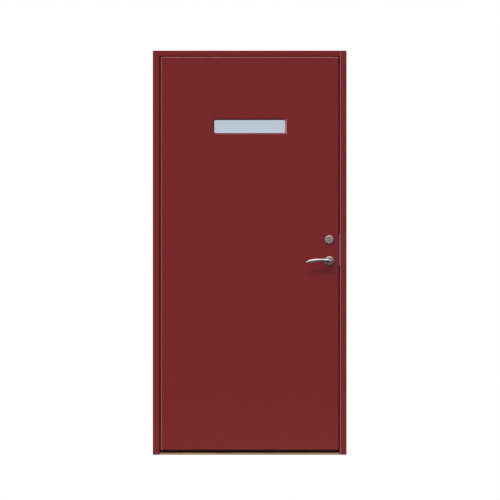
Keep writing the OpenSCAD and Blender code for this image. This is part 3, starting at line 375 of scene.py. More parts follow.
@dataclass(frozen=True)
class Finish:
    """What every finish has: a name, and a material with one shader that its own method dresses."""

    name: str

    def material(self, effects: Effects) -> bpy.types.Material:
        """Makes the material.

        Args:
            effects: The shared groups.

        Returns:
            The finished material.
        """
        material = bpy.data.materials.new(self.name)
        material.use_nodes = True
        board = Board(material.node_tree)
        board.tree.nodes.clear()
        shader = board.put("ShaderNodeBsdfPrincipled")
        board.put("ShaderNodeOutputMaterial", {"Surface": shader.outputs[0]})
        self.dress(board, shader, effects)
        return material

    def dress(self, board: Board, shader: Node, effects: Effects) -> None:
        """Sets the shader's inputs; each finish has its own."""
        raise NotImplementedError(self.name)


Finishes = dict[Finish, tuple[str, ...]]


@dataclass(frozen=True)
class PowderCoat(Finish):
    """Satin powder coat on sheet steel, with a painted highlight along the edges of its panel (a little of it
    edge wear), and dusty at its foot.
    """

    shade: Rgb = RED
    gloss: float = 0.36
    side: float = 0.4545
    low: float = 0.024
    high: float = 2.034
    reach: float = 0.0065
    highlight_share: float = 0.6
    dust_share: float = 0.012

    def dress(self, board: Board, shader: Node, effects: Effects) -> None:
        """Drifts the red a little, paints a highlight along the edges and gives the coat its peel."""
        place = board.place()
        coat = board.use(effects.coat, Place=place, Peel=620.0, Drift=2.4)
        sheen_and_dust = board.use(effects.sheen_and_dust, Place=place, Side=self.side, Low=self.low, High=self.high,
                        Reach=self.reach)
        plain = board.drift(coat["Shade"], self.shade, 0.989, 1.009)
        # Painted highlight inside the panel's edges, widest on the hinge side and along the top, where the
        # light falls.
        edge_lit = board.blend(board.times(sheen_and_dust["Highlight"], self.highlight_share), plain, HIGHLIGHT_RED)
        dusty = board.blend(board.times(sheen_and_dust["Foot"], self.dust_share), edge_lit, DUST)
        board.feed(shader, Base_Color=self.mark(board, place, dusty), Specular_IOR_Level=0.5,
                   Roughness=board.ramp(coat["Marks"], 0.06, self.gloss),
                   Normal=board.bump(coat["Height"], strength=0.1, depth=0.0001))

    def mark(self, board: Board, place: Socket, colour: Socket) -> Socket:
        """Adds nothing here; a finish with marks of its own blends them into the colour."""
        return colour


@dataclass(frozen=True)
class WindowCoat(PowderCoat):
    """The same coat round the window, with painted shade in the rolled edge except on the lock side, where it
    has a painted highlight.
    """

    half_width: float = 0.1815
    half_height: float = 0.034
    roll: float = 0.007
    middle: float = 1.677
    depth: Span = (-0.0499, -0.0484)
    edge: float = 0.004
    fade: float = 0.002
    # Strength of the painted shade in the roll, and its share at the foot.
    painted_shade: float = 0.95
    foot_share: float = 0.62
    # Painted highlight on the roll's crown, lock side.
    crown: float = 0.6
    crown_half: Span = (0.0015, 0.004)
    highlight_amount: float = 0.66

    def mark(self, board: Board, place: Socket, colour: Socket) -> Socket:
        """Paints shade in the roll by its depth on three sides, and a highlight on its crown on the lock side.

        Args:
            board: The material's nodes.
            place: Place on the skin.
            colour: The coat's colour so far.

        Returns:
            The colour with its marks.
        """
        part = board.split(place)
        upward = board.math("SUBTRACT", part["Z"], self.middle)
        far = board.math("ABSOLUTE", upward)
        wide, tall = self.half_width + self.roll, self.half_height + self.roll
        beside = board.fall(board.math("ABSOLUTE", part["X"]), wide, wide + self.fade)
        inside = board.times(beside, board.fall(far, tall, tall + self.fade))
        level = board.fall(far, self.half_height, tall)
        top = board.span(upward, self.half_height - self.edge, self.half_height)
        foot = board.fall(upward, -self.half_height, -self.half_height + self.edge, self.foot_share)
        hinge = board.fall(part["X"], -self.half_width, -self.half_width + self.edge)
        sheltered = board.most(board.most(top, foot), board.times(hinge, level))
        # Painted shade on the roll's top, foot and hinge side, which face away from the light.
        painted_dark = board.times(board.times(sheltered, inside), board.span(part["Y"], *self.depth))
        dark = board.blend(board.times(painted_dark, self.painted_shade), colour, ROLL_SHADE)
        # Painted highlight on the crown of the roll, lock side.
        aside = board.apart(part["X"], self.half_width + self.crown * self.roll)
        bright = board.times(board.fall(aside, *self.crown_half, self.highlight_amount), level)
        return board.blend(bright, dark, CROWN_HIGHLIGHT)


@dataclass(frozen=True)
class PaintedTimber(Finish):
    """Satin paint on a planed timber frame, with the grain just telling through it."""

    shade: Rgb = RED
    gloss: float = 0.38
    grain: Grain = Grain.UPRIGHT
    grain_share: float = 0.06
    # Painted highlight along the corner joint.
    joint: float = 2.037
    joint_half: Span = (0.0004, 0.0011)
    joint_start: Span = (0.459, 0.461)
    joint_share: float = 0.45
    front: Span = (-0.0485, -0.046)
    # Painted highlight on the lock side's front arris.
    arris: float = 0.4638
    arris_half: Span = (0.0012, 0.0032)
    highlight_share: float = 0.65
    # Painted shade in the gap on the lock side: where it lies and how dark.
    lock_side: Span = (0.4438, 0.4538)
    painted_dark_end: Span = (0.4604, 0.4616)
    painted_dark_share: float = 0.8

    def dress(self, board: Board, shader: Node, effects: Effects) -> None:
        """Drifts the red, lets the grain tell and draws the corner joint's hairline as a painted highlight.

        The lock side's front arris gets a painted highlight, and on an upright there is painted shade inside
        it, in the gap.
        """
        place = board.place()
        coat = board.use(effects.coat, Place=place, Peel=380.0, Drift=3.1)
        wood = board.use(effects.timber, Place=board.place(self.grain.value), Rings=22.0, Fibres=700.0)
        plain = board.drift(coat["Shade"], self.shade, 0.985, 1.012)
        told = board.blend(board.times(wood["Rings"], self.grain_share), plain, scaled(self.shade, 0.88))
        part = board.split(place)
        # The lighter hairline at the corner joint is a painted highlight.
        corner = board.span(board.math("ABSOLUTE", part["X"]), *self.joint_start)
        line = board.times(board.fall(board.apart(part["Z"], self.joint), *self.joint_half), corner)
        lined = board.blend(board.times(line, self.joint_share), told, JOINT_HIGHLIGHT)
        outside = board.fall(part["Y"], *self.front)
        # Painted highlight on the front arris of the lock side.
        beside = board.apart(part["X"], self.arris)
        near = board.times(board.fall(beside, *self.arris_half, self.highlight_share), outside)
        highlight_amount = board.times(near, board.span(coat["Marks"], 0.0, 1.0, 0.8, 1.0))
        colour = board.blend(highlight_amount, lined, HIGHLIGHT_RED)
        # Painted shade just inside the lock-side arris, in the gap.
        if self.grain is Grain.UPRIGHT:
            lock = board.times(board.span(part["X"], *self.lock_side), outside)
            painted_dark = board.times(lock, board.fall(part["X"], *self.painted_dark_end, self.painted_dark_share))
            colour = board.blend(painted_dark, colour, GAP_SHADE)
        height = board.ramp(wood["Rings"], 0.4, board.ramp(wood["Fibres"], 0.5, coat["Height"]))
        board.feed(shader, Base_Color=colour, Specular_IOR_Level=0.5,
                   Roughness=board.ramp(coat["Marks"], 0.07, self.gloss),
                   Normal=board.bump(height, strength=0.12, depth=0.00012))


@dataclass(frozen=True)
class BareTimber(Finish):
    """Bare or oiled timber with rings, fibres and pores."""

    light: Rgb = (171.0, 140.0, 104.0)
    dark: Rgb = (131.0, 101.0, 70.0)
    grain: Grain = Grain.LEVEL
    rings: float = 30.0
    fibres: float = 1100.0
    pores: float = 0.5
    gloss: float = 0.5
    late_wood: float = 0.75
    fibre_share: float = 0.3
    # Painted shade on the sill in the gap under the leaf: strength and where it lies.
    painted_dark: float = 0.0
    painted_dark_behind: Span = (-0.049, -0.035)
    painted_dark_above: Span = (0.0085, 0.0105)
    painted_dark_end: Span = (0.0, 0.012)

    def dress(self, board: Board, shader: Node, effects: Effects) -> None:
        """Grades early to late wood, streaks it with fibres, sinks the pores and paints shade on what lies
        deep, in the gap under the leaf.
        """
        wood = board.use(effects.timber, Place=board.place(self.grain.value), Rings=self.rings,
                         Fibres=self.fibres)
        base = board.blend(board.times(wood["Rings"], self.late_wood), self.light, self.dark)
        streak = board.times(wood["Fibres"], self.fibre_share)
        fibre = board.blend(streak, base, scaled(self.dark, 0.85))
        sunk = board.times(wood["Pores"], self.pores)
        colour = board.blend(sunk, fibre, scaled(self.dark, 0.6))
        # Painted shade behind the leaf's front and up the stop, in the gap.
        if self.painted_dark > 0.0:
            part = board.split(board.place())
            above = board.span(part["Z"], *self.painted_dark_above)
            darkened = board.most(board.span(part["Y"], *self.painted_dark_behind), above)
            outside = board.fall(part["Y"], *self.painted_dark_end, self.painted_dark)
            colour = board.blend(board.times(darkened, outside), colour, SILL_GAP_SHADE)
        height = board.ramp(wood["Fibres"], 0.5, board.math("SUBTRACT", 1.0, sunk))
        board.feed(shader, Base_Color=colour, Specular_IOR_Level=0.4,
                   Roughness=board.ramp(wood["Rings"], 0.12, self.gloss),
                   Normal=board.bump(height, strength=0.2, depth=0.0002))


@dataclass(frozen=True)
class Steel(Finish):
    """Bare steel, turned or drawn, with faint finger marks; it may have painted shade in one place."""

    shade: Rgb = (200.0, 198.0, 194.0)
    gloss: float = 0.2
    lines: float = 0.08
    polish: Polish = Polish.DRAWN_LEVEL
    middle: Point = (0.0, 0.0, 0.0)
    # Painted shade past a depth, in the keyway.
    shade_past: Span | None = None
    # Painted shade under the neck, near the axis.
    painted_shade: Span | None = None
    painted_shade_top: Span = (-0.005, 0.001)
    painted_shade_share: float = 0.85

    def dress(self, board: Board, shader: Node, effects: Effects) -> None:
        """Varies the gloss and shade by the working lines and finger marks.

        Painted shade lies past a depth, in the keyway, and under the neck, near the axis through the middle.
        """
        stretch = (1.0, 1.0, DRAW) if self.polish is Polish.DRAWN_UPRIGHT else (DRAW, 1.0, 1.0)
        drawn = board.use(effects.streaks, Place=board.place(stretch), Lines=2600.0, Marks=70.0)
        lines = drawn["Lines"]
        if self.polish is Polish.TURNED:
            lines = board.use(effects.turning, Place=board.place(middle=self.middle), Lines=2800.0)["Lines"]
        colour = board.drift(lines, self.shade, 0.95, 1.03)
        # Painted shade in the keyway, past a depth.
        if self.shade_past is not None:
            depth = board.split(board.place())["Y"]
            colour = board.blend(board.span(depth, *self.shade_past), colour, KEYWAY_SHADE)
        # Painted shade under the lever's neck.
        if self.painted_shade is not None:
            part = board.split(board.place(middle=self.middle))
            under = board.fall(part["Z"], *self.painted_shade_top, self.painted_shade_share)
            near = board.fall(board.from_axis(part), *self.painted_shade)
            colour = board.blend(board.times(under, near), colour, NECK_SHADE)
        rough = board.ramp(drawn["Marks"], 0.05, board.ramp(lines, self.lines, self.gloss))
        board.feed(shader, Base_Color=colour, Roughness=rough, Metallic=1.0,
                   Normal=board.bump(lines, strength=0.06, depth=0.00004))


@dataclass(frozen=True)
class Zinc(Finish):
    """Zinc-plated steel: grey, cloudy, and a little warm in patches."""

    shade: Rgb = (176.0, 178.0, 180.0)

    def dress(self, board: Board, shader: Node, effects: Effects) -> None:
        """Clouds the plating in shade and gloss."""
        coat = board.use(effects.coat, Place=board.place(), Peel=900.0, Drift=60.0)
        clear = board.drift(coat["Shade"], self.shade, 0.88, 1.0)
        colour = board.blend(board.times(coat["Marks"], 0.3), clear, WARM_ZINC)
        board.feed(shader, Base_Color=colour, Metallic=1.0, Roughness=board.ramp(coat["Shade"], 0.16, 0.3),
                   Normal=board.bump(coat["Height"], strength=0.08, depth=0.00005))


@dataclass(frozen=True)
class Soft(Finish):
    """Matt moulded rubber or plastic with a fine grain and a grey bloom."""

    shade: Rgb = (24.0, 24.0, 25.0)
    bloom: Rgb = (46.0, 46.0, 47.0)
    peel: float = 1500.0
    gloss: float = 0.62

    def dress(self, board: Board, shader: Node, effects: Effects) -> None:
        """Clouds the black with bloom and roughens it finely."""
        coat = board.use(effects.coat, Place=board.place(), Peel=self.peel, Drift=25.0)
        board.feed(shader, Base_Color=board.blend(board.times(coat["Shade"], 0.5), self.shade, self.bloom),
                   Roughness=board.ramp(coat["Marks"], 0.15, self.gloss), Specular_IOR_Level=0.35,
                   Normal=board.bump(coat["Height"], strength=0.15, depth=0.0001))


@dataclass(frozen=True)
class Wool(Finish):
    """Pressed mineral wool board: tangled pale fibres."""

    shade: Rgb = (206.0, 190.0, 130.0)

    def dress(self, board: Board, shader: Node, effects: Effects) -> None:
        """Tangles two stretched fibre fields and clouds the colour."""
        flat = board.use(effects.timber, Place=board.place((0.3, 1.0, 1.0)), Rings=40.0, Fibres=700.0)
        cross = board.use(effects.timber, Place=board.place((1.0, 1.0, 0.3)), Rings=55.0, Fibres=800.0)
        tangle = board.times(board.math("ADD", flat["Fibres"], cross["Fibres"]), 0.5)
        board.feed(shader, Base_Color=board.drift(tangle, self.shade, 0.72, 1.0),
                   Roughness=board.span(tangle, 0.0, 1.0, 0.85, 0.98),
                   Normal=board.bump(tangle, strength=0.5, depth=0.001))


@dataclass(frozen=True)
class Glass(Finish):
    """Clear float glass with a cool tint and a very slight wave."""

    shade: Rgb = (219.5, 226.8, 233.0)

    def dress(self, board: Board, shader: Node, effects: Effects) -> None:
        """Lets the light through, tinted by a slow drift, over the float's wave."""
        coat = board.use(effects.coat, Place=board.place(), Peel=9.0, Drift=6.0)
        board.feed(shader, Base_Color=board.drift(coat["Shade"], self.shade, 0.996, 1.0), Metallic=0.0,
                   Transmission_Weight=1.0, IOR=1.5, Roughness=board.span(coat["Marks"], 0.0, 1.0, 0.0, 0.02),
                   Normal=board.bump(coat["Height"], strength=0.02, depth=0.0002))


@dataclass
class Palette:
    """Every finish on the door, made once."""

    effects: Effects
    made: dict[str, bpy.types.Material] = field(default_factory=dict)

    def paint(self, piece: Piece, finish: Finish) -> None:
        """Puts a finish on every material slot of a piece, and makes its material at its first use.

        Args:
            piece: Object to dress.
            finish: What it is made of.
        """
        if finish.name not in self.made:
            self.made[finish.name] = finish.material(self.effects)
        material = self.made[finish.name]
        if not piece.material_slots:
            piece.data.materials.append(material)
        for slot in piece.material_slots:
            slot.material = material


LEVER_AXIS: Point = (0.407, 0.0, 0.991)
KEY_AXIS: Point = (0.407, 0.0, 1.093)
RED_SKIN = PowderCoat("red_powder_coat")
RED_OUTER = WindowCoat("red_window_coat")
RED_BEAD = PowderCoat("red_bead_coat", side=0.2095, low=1.615, high=1.739)
RED_JAMB = PaintedTimber("red_paint_upright")
RED_HEAD = PaintedTimber("red_paint_level", grain=Grain.LEVEL)
# Its dark band is painted shade in the gap under the leaf.
OAK = BareTimber("oiled_oak", painted_dark=0.85)
PINE_LEVEL = BareTimber("pine_level", light=(222.0, 188.0, 134.0), dark=(188.0, 142.0, 88.0), rings=18.0,
                        fibres=600.0, pores=0.15, gloss=0.6)
PINE_UPRIGHT = replace(PINE_LEVEL, name="pine_upright", grain=Grain.UPRIGHT)
# The darkening under the neck is painted shade.
LEVER_STEEL = Steel("lever_steel", gloss=0.16, lines=0.06, middle=LEVER_AXIS, painted_shade=(0.013, 0.021))
LEVER_ROSE = Steel("lever_rose_steel", gloss=0.19, polish=Polish.TURNED, middle=LEVER_AXIS)
KEY_ROSE = replace(LEVER_ROSE, name="key_rose_steel", middle=(0.407, 0.0, 1.099))
KEY_STEEL = Steel("key_steel", gloss=0.22, polish=Polish.TURNED, middle=KEY_AXIS)
# Dark past the plug's front: painted shade in the keyway.
KEY_PLUG = replace(KEY_STEEL, name="key_plug_steel", shade_past=(-0.0553, -0.0545))
# The pink in the strike's shade is a painted reflection of the red paint round it.
STRIKE = Steel("strike_steel", (210.0, 178.0, 178.0), gloss=0.45, lines=0.06, polish=Polish.DRAWN_UPRIGHT)
EDGE_STEEL = Steel("edge_steel", gloss=0.26, lines=0.1, polish=Polish.DRAWN_UPRIGHT)
BOLT_STEEL = Steel("bolt_steel", gloss=0.28, lines=0.1)
SPACER = Steel("spacer_aluminium", (214.0, 214.0, 214.0), gloss=0.34)
ZINC = Zinc("zinc_plate")
RUBBER = Soft("seal_rubber")
PLASTIC = Soft("black_plastic", (20.0, 20.0, 20.0), (34.0, 34.0, 34.0), peel=900.0, gloss=0.5)
WOOL = Wool("mineral_wool")
GLASS = Glass("float_glass")


def turn_outwards(points: np.ndarray, faces: list[list[int]]) -> list[list[int]]:
    """Makes the faces of a closed surface point outwards.

    The signed volume is the sum, over each face split into triangles from its first corner, of
    a . (b x c) / 6. Where it is below zero, every face is turned round.

    Args:
        points: Vertices, one row each.
        faces: Corners of each face.

    Returns:
        The faces, turned if they have to be.
    """
    fans = np.array([(f[0], f[i], f[i + 1]) for f in faces for i in range(1, len(f) - 1)])
    a, b, c = points[fans[:, 0]], points[fans[:, 1]], points[fans[:, 2]]
    volume = np.einsum("ij,ij->i", a, np.cross(b, c)).sum()
    return [list(reversed(f)) for f in faces] if volume < 0.0 else faces


def tube_faces(rows: int, columns: int) -> list[list[int]]:
    """Joins rings of points, and closes both ends on a pole.

    Args:
        rows: Number of rings.
        columns: Points in each ring.

    Returns:
        Faces over rows * columns ring points, then the first pole, then the last.
    """
    grid = np.arange(rows * columns).reshape(rows, columns)
    after = np.roll(grid, -1, axis=1)
    quads = np.stack((grid[:-1], after[:-1], after[1:], grid[1:]), axis=-1).reshape(-1, 4)
    first = np.full(columns, rows * columns)
    start = np.stack((after[0], grid[0], first), axis=-1)
    end = np.stack((grid[-1], after[-1], first + 1), axis=-1)
    return quads.tolist() + start.tolist() + end.tolist()


def loop_faces(rows: int, columns: int) -> list[list[int]]:
    """Joins rings of points into a closed loop, the last ring to the first."""
    grid = np.arange(rows * columns).reshape(rows, columns)
    after = np.roll(grid, -1, axis=1)
    quads = np.stack((grid, after, np.roll(after, -1, axis=0), np.roll(grid, -1, axis=0)), axis=-1)
    return quads.reshape(-1, 4).tolist()


def new_piece(name: str, points: np.ndarray, faces: list[list[int]], crease: float) -> Piece:
    """Makes a piece whose place is in its mesh.

    Args:
        name: Name of the piece.
        points: Vertices in metres, one row each.
        faces: Corners of each face.
        crease: Angle in degrees past which an edge stays sharp.

    Returns:
        The object, at the origin.
    """
    mesh = bpy.data.meshes.new(name)
    mesh.from_pydata(points.tolist(), [], turn_outwards(points, faces))
    mesh.validate()
    mesh.shade_smooth()
    mesh.set_sharp_from_angle(angle=math.radians(crease))
    piece = bpy.data.objects.new(name, mesh)
    bpy.context.collection.objects.link(piece)
    LOG.info("%s: %d points, %d faces", name, len(points), len(faces))
    return piece


@dataclass
class ScrewSet:
    """Countersunk screws with a six-lobed recess, all of one size, that stand for one node of the frame."""

    node: str
    body: str
    places: list[Point]
    facing: Facing
    thread: float
    head: float
    length: float
    recess_width: float = 0.30
    recess_depth: float = 0.28
    lobe: float = 0.13
    columns: int = 36

    def _profile(self) -> tuple[np.ndarray, np.ndarray, np.ndarray]:
        """Gives each ring's radius, height and how far it follows the recess's lobes, in millimetres."""
        thread, head, length = self.thread / 2.0, self.head / 2.0, self.length
        drive, deep, cone = self.recess_width * self.head, self.recess_depth * self.head, head - thread
        radius = np.array([drive * 0.9, drive, drive + 0.12, head - 0.2, head, thread, thread, thread * 0.5])
        height = np.array([-deep, -0.15, 0.0, 0.0, -0.12, -cone, -length + thread * 1.6, -length + 0.3])
        lobed = np.array([1.0, 1.0, 0.9, 0.0, 0.0, 0.0, 0.0, 0.0])
        return radius, height, lobed

    def build(self, palette: Palette) -> None:
        """Makes one piece of every screw in the set: its profile is carried round each axis.

        The radius at angle a is r (1 + lobe l cos 6 a), with l the ring's share of the lobes.

        Args:
            palette: The finishes.
        """
        radius, height, lobed = self._profile()
        angle = np.linspace(0.0, FULL_TURN, self.columns, endpoint=False)
        wide = radius[:, None] * (1.0 + self.lobe * lobed[:, None] * np.cos(6.0 * angle)[None, :])
        rings = np.stack((wide * np.cos(angle), wide * np.sin(angle),
                          np.broadcast_to(height[:, None], wide.shape)), axis=-1).reshape(-1, 3)
        poles = np.array([[0.0, 0.0, height[0] - 0.2], [0.0, 0.0, -self.length]])
        one = np.concatenate((rings, poles)) * MM
        out, up = np.asarray(self.facing.value), np.array([0.0, 0.0, 1.0])
        axes = np.stack((up, np.cross(out, up), out))
        spots = np.asarray(self.places, dtype=float) * MM
        points = (spots[:, None, :] + (one @ axes)[None, :, :]).reshape(-1, 3)
        single = tube_faces(len(radius), self.columns)
        faces = [[corner + k * len(one) for corner in f] for k in range(len(spots)) for f in single]
        piece = new_piece(f"{self.node}_recessed", points, faces, crease=30.0)
        palette.paint(piece, ZINC)
        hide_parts(self.node)
        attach(piece, self.body)


@dataclass
class Assembly:
    """What every sub-assembly has: finishes for its CAD nodes, finer pieces, and recessed screws."""

    def finishes(self) -> Finishes:
        """Lists the CAD nodes that each finish goes on; each sub-assembly has its own."""
        raise NotImplementedError(type(self).__name__)

    def dress(self, nodes: Nodes, palette: Palette) -> None:
        """Puts the finishes on the CAD nodes.

        Args:
            nodes: The CAD nodes by name.
            palette: The finishes.
        """
        for finish, names in self.finishes().items():
            for name in names:
                palette.paint(nodes[name], finish)
        LOG.info("dressed %s", type(self).__name__)

    def build(self, palette: Palette) -> None:
        """Builds the finer pieces; a sub-assembly may have none."""

    def screws(self) -> list[ScrewSet]:
        """Lists the sets of recessed screws; a sub-assembly may have none."""
        return []


@dataclass
class FrameSet(Assembly):
    """The timber frame, its oak sill, the seal round the stop and the strike."""

    seal_side: float = 447.5
    seal_low: float = 32.0
    seal_high: float = 2027.0
    seal_half: float = 4.0
    seal_front: float = 50.3
    seal_back: float = 53.9
    seal_lip: float = 0.2
    seal_shoulder: float = 1.2
    bulb_points: int = 17
    foot_half: float = 1.4
    foot_back: float = 60.9
    front: float = -50.0
    strike_face: float = 457.282
    strike_y: float = -25.0
    strike_z: float = 1049.0
    strike_screw: float = 69.0

    def finishes(self) -> Finishes:
        """Paints the timber, oils the sill, draws the strike and plates the corner screws."""
        return {
            RED_JAMB: ("hinge_jamb", "lock_jamb"), RED_HEAD: ("frame_head",), OAK: ("sill",),
            STRIKE: ("strike_plate",), PLASTIC: ("strike_box",), ZINC: ("corner_screws",),
        }

    def build(self, palette: Palette) -> None:
        """Carries the seal's D-shaped bulb with its foot round the stop, mitred at the corners.

        A point of the profile lies a outside the seal's middle line and d behind the front. At each
        corner of the loop it is at x = +-(side + a), z = middle +- (half height + a), y = front + d.

        Args:
            palette: The finishes.
        """
        turn = np.linspace(0.0, np.pi, self.bulb_points)
        shoulder = self.seal_back - self.seal_shoulder
        bulb = np.stack((self.seal_half * np.cos(turn),
                         shoulder - (shoulder - self.seal_front) * np.sin(turn) ** 0.8), axis=-1)
        lip = self.seal_half - self.seal_lip
        foot = np.array([
            [-lip, self.seal_back], [-self.foot_half, self.seal_back], [-self.foot_half, self.foot_back],
            [self.foot_half, self.foot_back], [self.foot_half, self.seal_back], [lip, self.seal_back],
        ])
        profile = np.concatenate((bulb, foot))
        corner = np.array([[-1.0, -1.0], [1.0, -1.0], [1.0, 1.0], [-1.0, 1.0]])
        middle = (self.seal_low + self.seal_high) / 2.0
        tall = (self.seal_high - self.seal_low) / 2.0
        across = corner[:, None, 0] * (self.seal_side + profile[None, :, 0])
        upward = middle + corner[:, None, 1] * (tall + profile[None, :, 0])
        deep = np.broadcast_to(self.front + profile[None, :, 1], across.shape)
        points = np.stack((across, deep, upward), axis=-1).reshape(-1, 3) * MM
        piece = new_piece("frame_seal_bulb", points, loop_faces(len(corner), len(profile)), crease=35.0)
        palette.paint(piece, RUBBER)
        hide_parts("frame_seal")
        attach(piece, "frame")

    def screws(self) -> list[ScrewSet]:
        """Lists the two screws of the strike."""
        spots = [(self.strike_face, self.strike_y, self.strike_z + side * self.strike_screw) for side in SIDES]
        return [ScrewSet("strike_screws", "frame", spots, Facing.HINGE, thread=4.0, head=8.0, length=24.0)]


@dataclass
class HingeSet(Assembly):
    """The three concealed hinges: bodies let into jamb and leaf, crossed arms, and their screws."""

    heights: tuple[float, float, float] = (274.0, 1029.0, 1784.0)
    screw_offsets: tuple[float, float] = (56.0, 69.0)
    screw_depth: float = -27.715
    jamb_face: float = -460.0
    leaf_face: float = -454.5

    def finishes(self) -> Finishes:
        """Plates the bodies and polishes the arms of each hinge."""
        kinds = {ZINC: ("hinge_frame_body", "hinge_leaf_body"), BOLT_STEEL: ("frame_arm", "leaf_arm")}
        places = ("bottom", "middle", "top")
        return {finish: tuple(f"{kind}_{place}" for kind in names for place in places)
                for finish, names in kinds.items()}

    def screws(self) -> list[ScrewSet]:
        """Lists the screws through the face plates in the jamb and in the leaf's edge."""
        levels = [z + side * off for z in self.heights for side in SIDES for off in self.screw_offsets]
        jamb = [(self.jamb_face, self.screw_depth, z) for z in levels]
        leaf = [(self.leaf_face, self.screw_depth, z) for z in levels]
        return [
            ScrewSet("hinge_frame_screws", "frame", jamb, Facing.LOCK, thread=5.0, head=9.0, length=28.0),
            ScrewSet("hinge_leaf_screws", "leaf", leaf, Facing.HINGE, thread=5.0, head=9.0, length=28.0),
        ]


@dataclass
class Leaf(Assembly):
    """The leaf: steel skins on pine stiles and rails with a wool core, and its window."""

    bead_face: float = 3.0
    bead_screw: tuple[float, float] = (163.5, 56.0)
    window_z: float = 1677.0

    def finishes(self) -> Finishes:
        """Coats the skins and bead, and gives timber, wool, glass and tapes their own finishes."""
        return {
            RED_OUTER: ("outer_skin",), RED_SKIN: ("inner_skin",), RED_BEAD: ("window_bead",),
            PINE_UPRIGHT: ("hinge_stile", "lock_stile"),
            PINE_LEVEL: ("top_rail", "bottom_rail", "window_liner"),
            WOOL: ("core",), GLASS: ("outer_pane", "inner_pane"), SPACER: ("glass_spacer",),
            RUBBER: ("glazing_tapes",), PLASTIC: ("setting_blocks",),
        }

    def screws(self) -> list[ScrewSet]:
        """Lists the four screws through the inside bead."""
        x, z = self.bead_screw
        spots = [(side * x, self.bead_face, self.window_z + up * z) for side in SIDES for up in SIDES]
        return [ScrewSet("window_bead_screws", "leaf", spots, Facing.INSIDE, thread=3.5, head=6.5, length=20.0)]


@dataclass
class Lock(Assembly):
    """The mortise lock in the leaf's edge, its bolts, and the key cylinder."""

    spring_start: float = 406.6
    spring_end: float = 429.4
    spring_radius: float = 2.5
    wire: float = 0.5
    turns: int = 7
    turn_rows: int = 28
    wire_columns: int = 10
    spring_z: float = 1012.5
    middle_y: float = -25.0
    forend_face: float = 454.5
    forend_screws: tuple[float, float] = (933.0, 1137.0)

    def finishes(self) -> Finishes:
        """Plates the case, draws the forend and bolts, and turns the cylinder."""
        return {
            ZINC: ("lock_case", "lock_cover", "bolt_cam", "follower"), EDGE_STEEL: ("lock_forend",),
            BOLT_STEEL: ("latch_bolt", "deadbolt", "spindle_bar"),
            KEY_ROSE: ("cylinder_ring", "cylinder_body"), KEY_PLUG: ("key_plug",),
            KEY_STEEL: ("turn_rose",), LEVER_STEEL: ("thumbturn",),
        }

    def build(self, palette: Palette) -> None:
        """Carries the latch spring's round wire along a helix.

        The middle of the wire is at x = start + (end - start) t, and R cos a, R sin a beside it, with
        a = 2 pi turns t. Round it the wire's own circle has one axis outwards and one along X.

        Args:
            palette: The finishes.
        """
        rows, columns = self.turns * self.turn_rows + 1, self.wire_columns
        share = np.linspace(0.0, 1.0, rows)
        turn = FULL_TURN * self.turns * share
        ring = np.linspace(0.0, FULL_TURN, columns, endpoint=False)
        reach = self.spring_radius + self.wire * np.cos(ring)[None, :]
        along = self.spring_start + (self.spring_end - self.spring_start) * share[:, None]
        x = along + self.wire * np.sin(ring)[None, :]
        y = self.middle_y + reach * np.cos(turn)[:, None]
        z = self.spring_z + reach * np.sin(turn)[:, None]
        rings = np.stack((x, y, z), axis=-1)
        poles = rings[[0, -1]].mean(axis=1)
        points = np.concatenate((rings.reshape(-1, 3), poles)) * MM
        piece = new_piece("latch_spring_coil", points, tube_faces(rows, columns), crease=60.0)
        palette.paint(piece, BOLT_STEEL)
        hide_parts("latch_spring")
        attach(piece, "leaf")

    def screws(self) -> list[ScrewSet]:
        """Lists the two screws that hold the forend."""
        spots = [(self.forend_face, self.middle_y, z) for z in self.forend_screws]
        return [ScrewSet("forend_screws", "leaf", spots, Facing.LOCK, thread=4.0, head=7.5, length=26.0)]


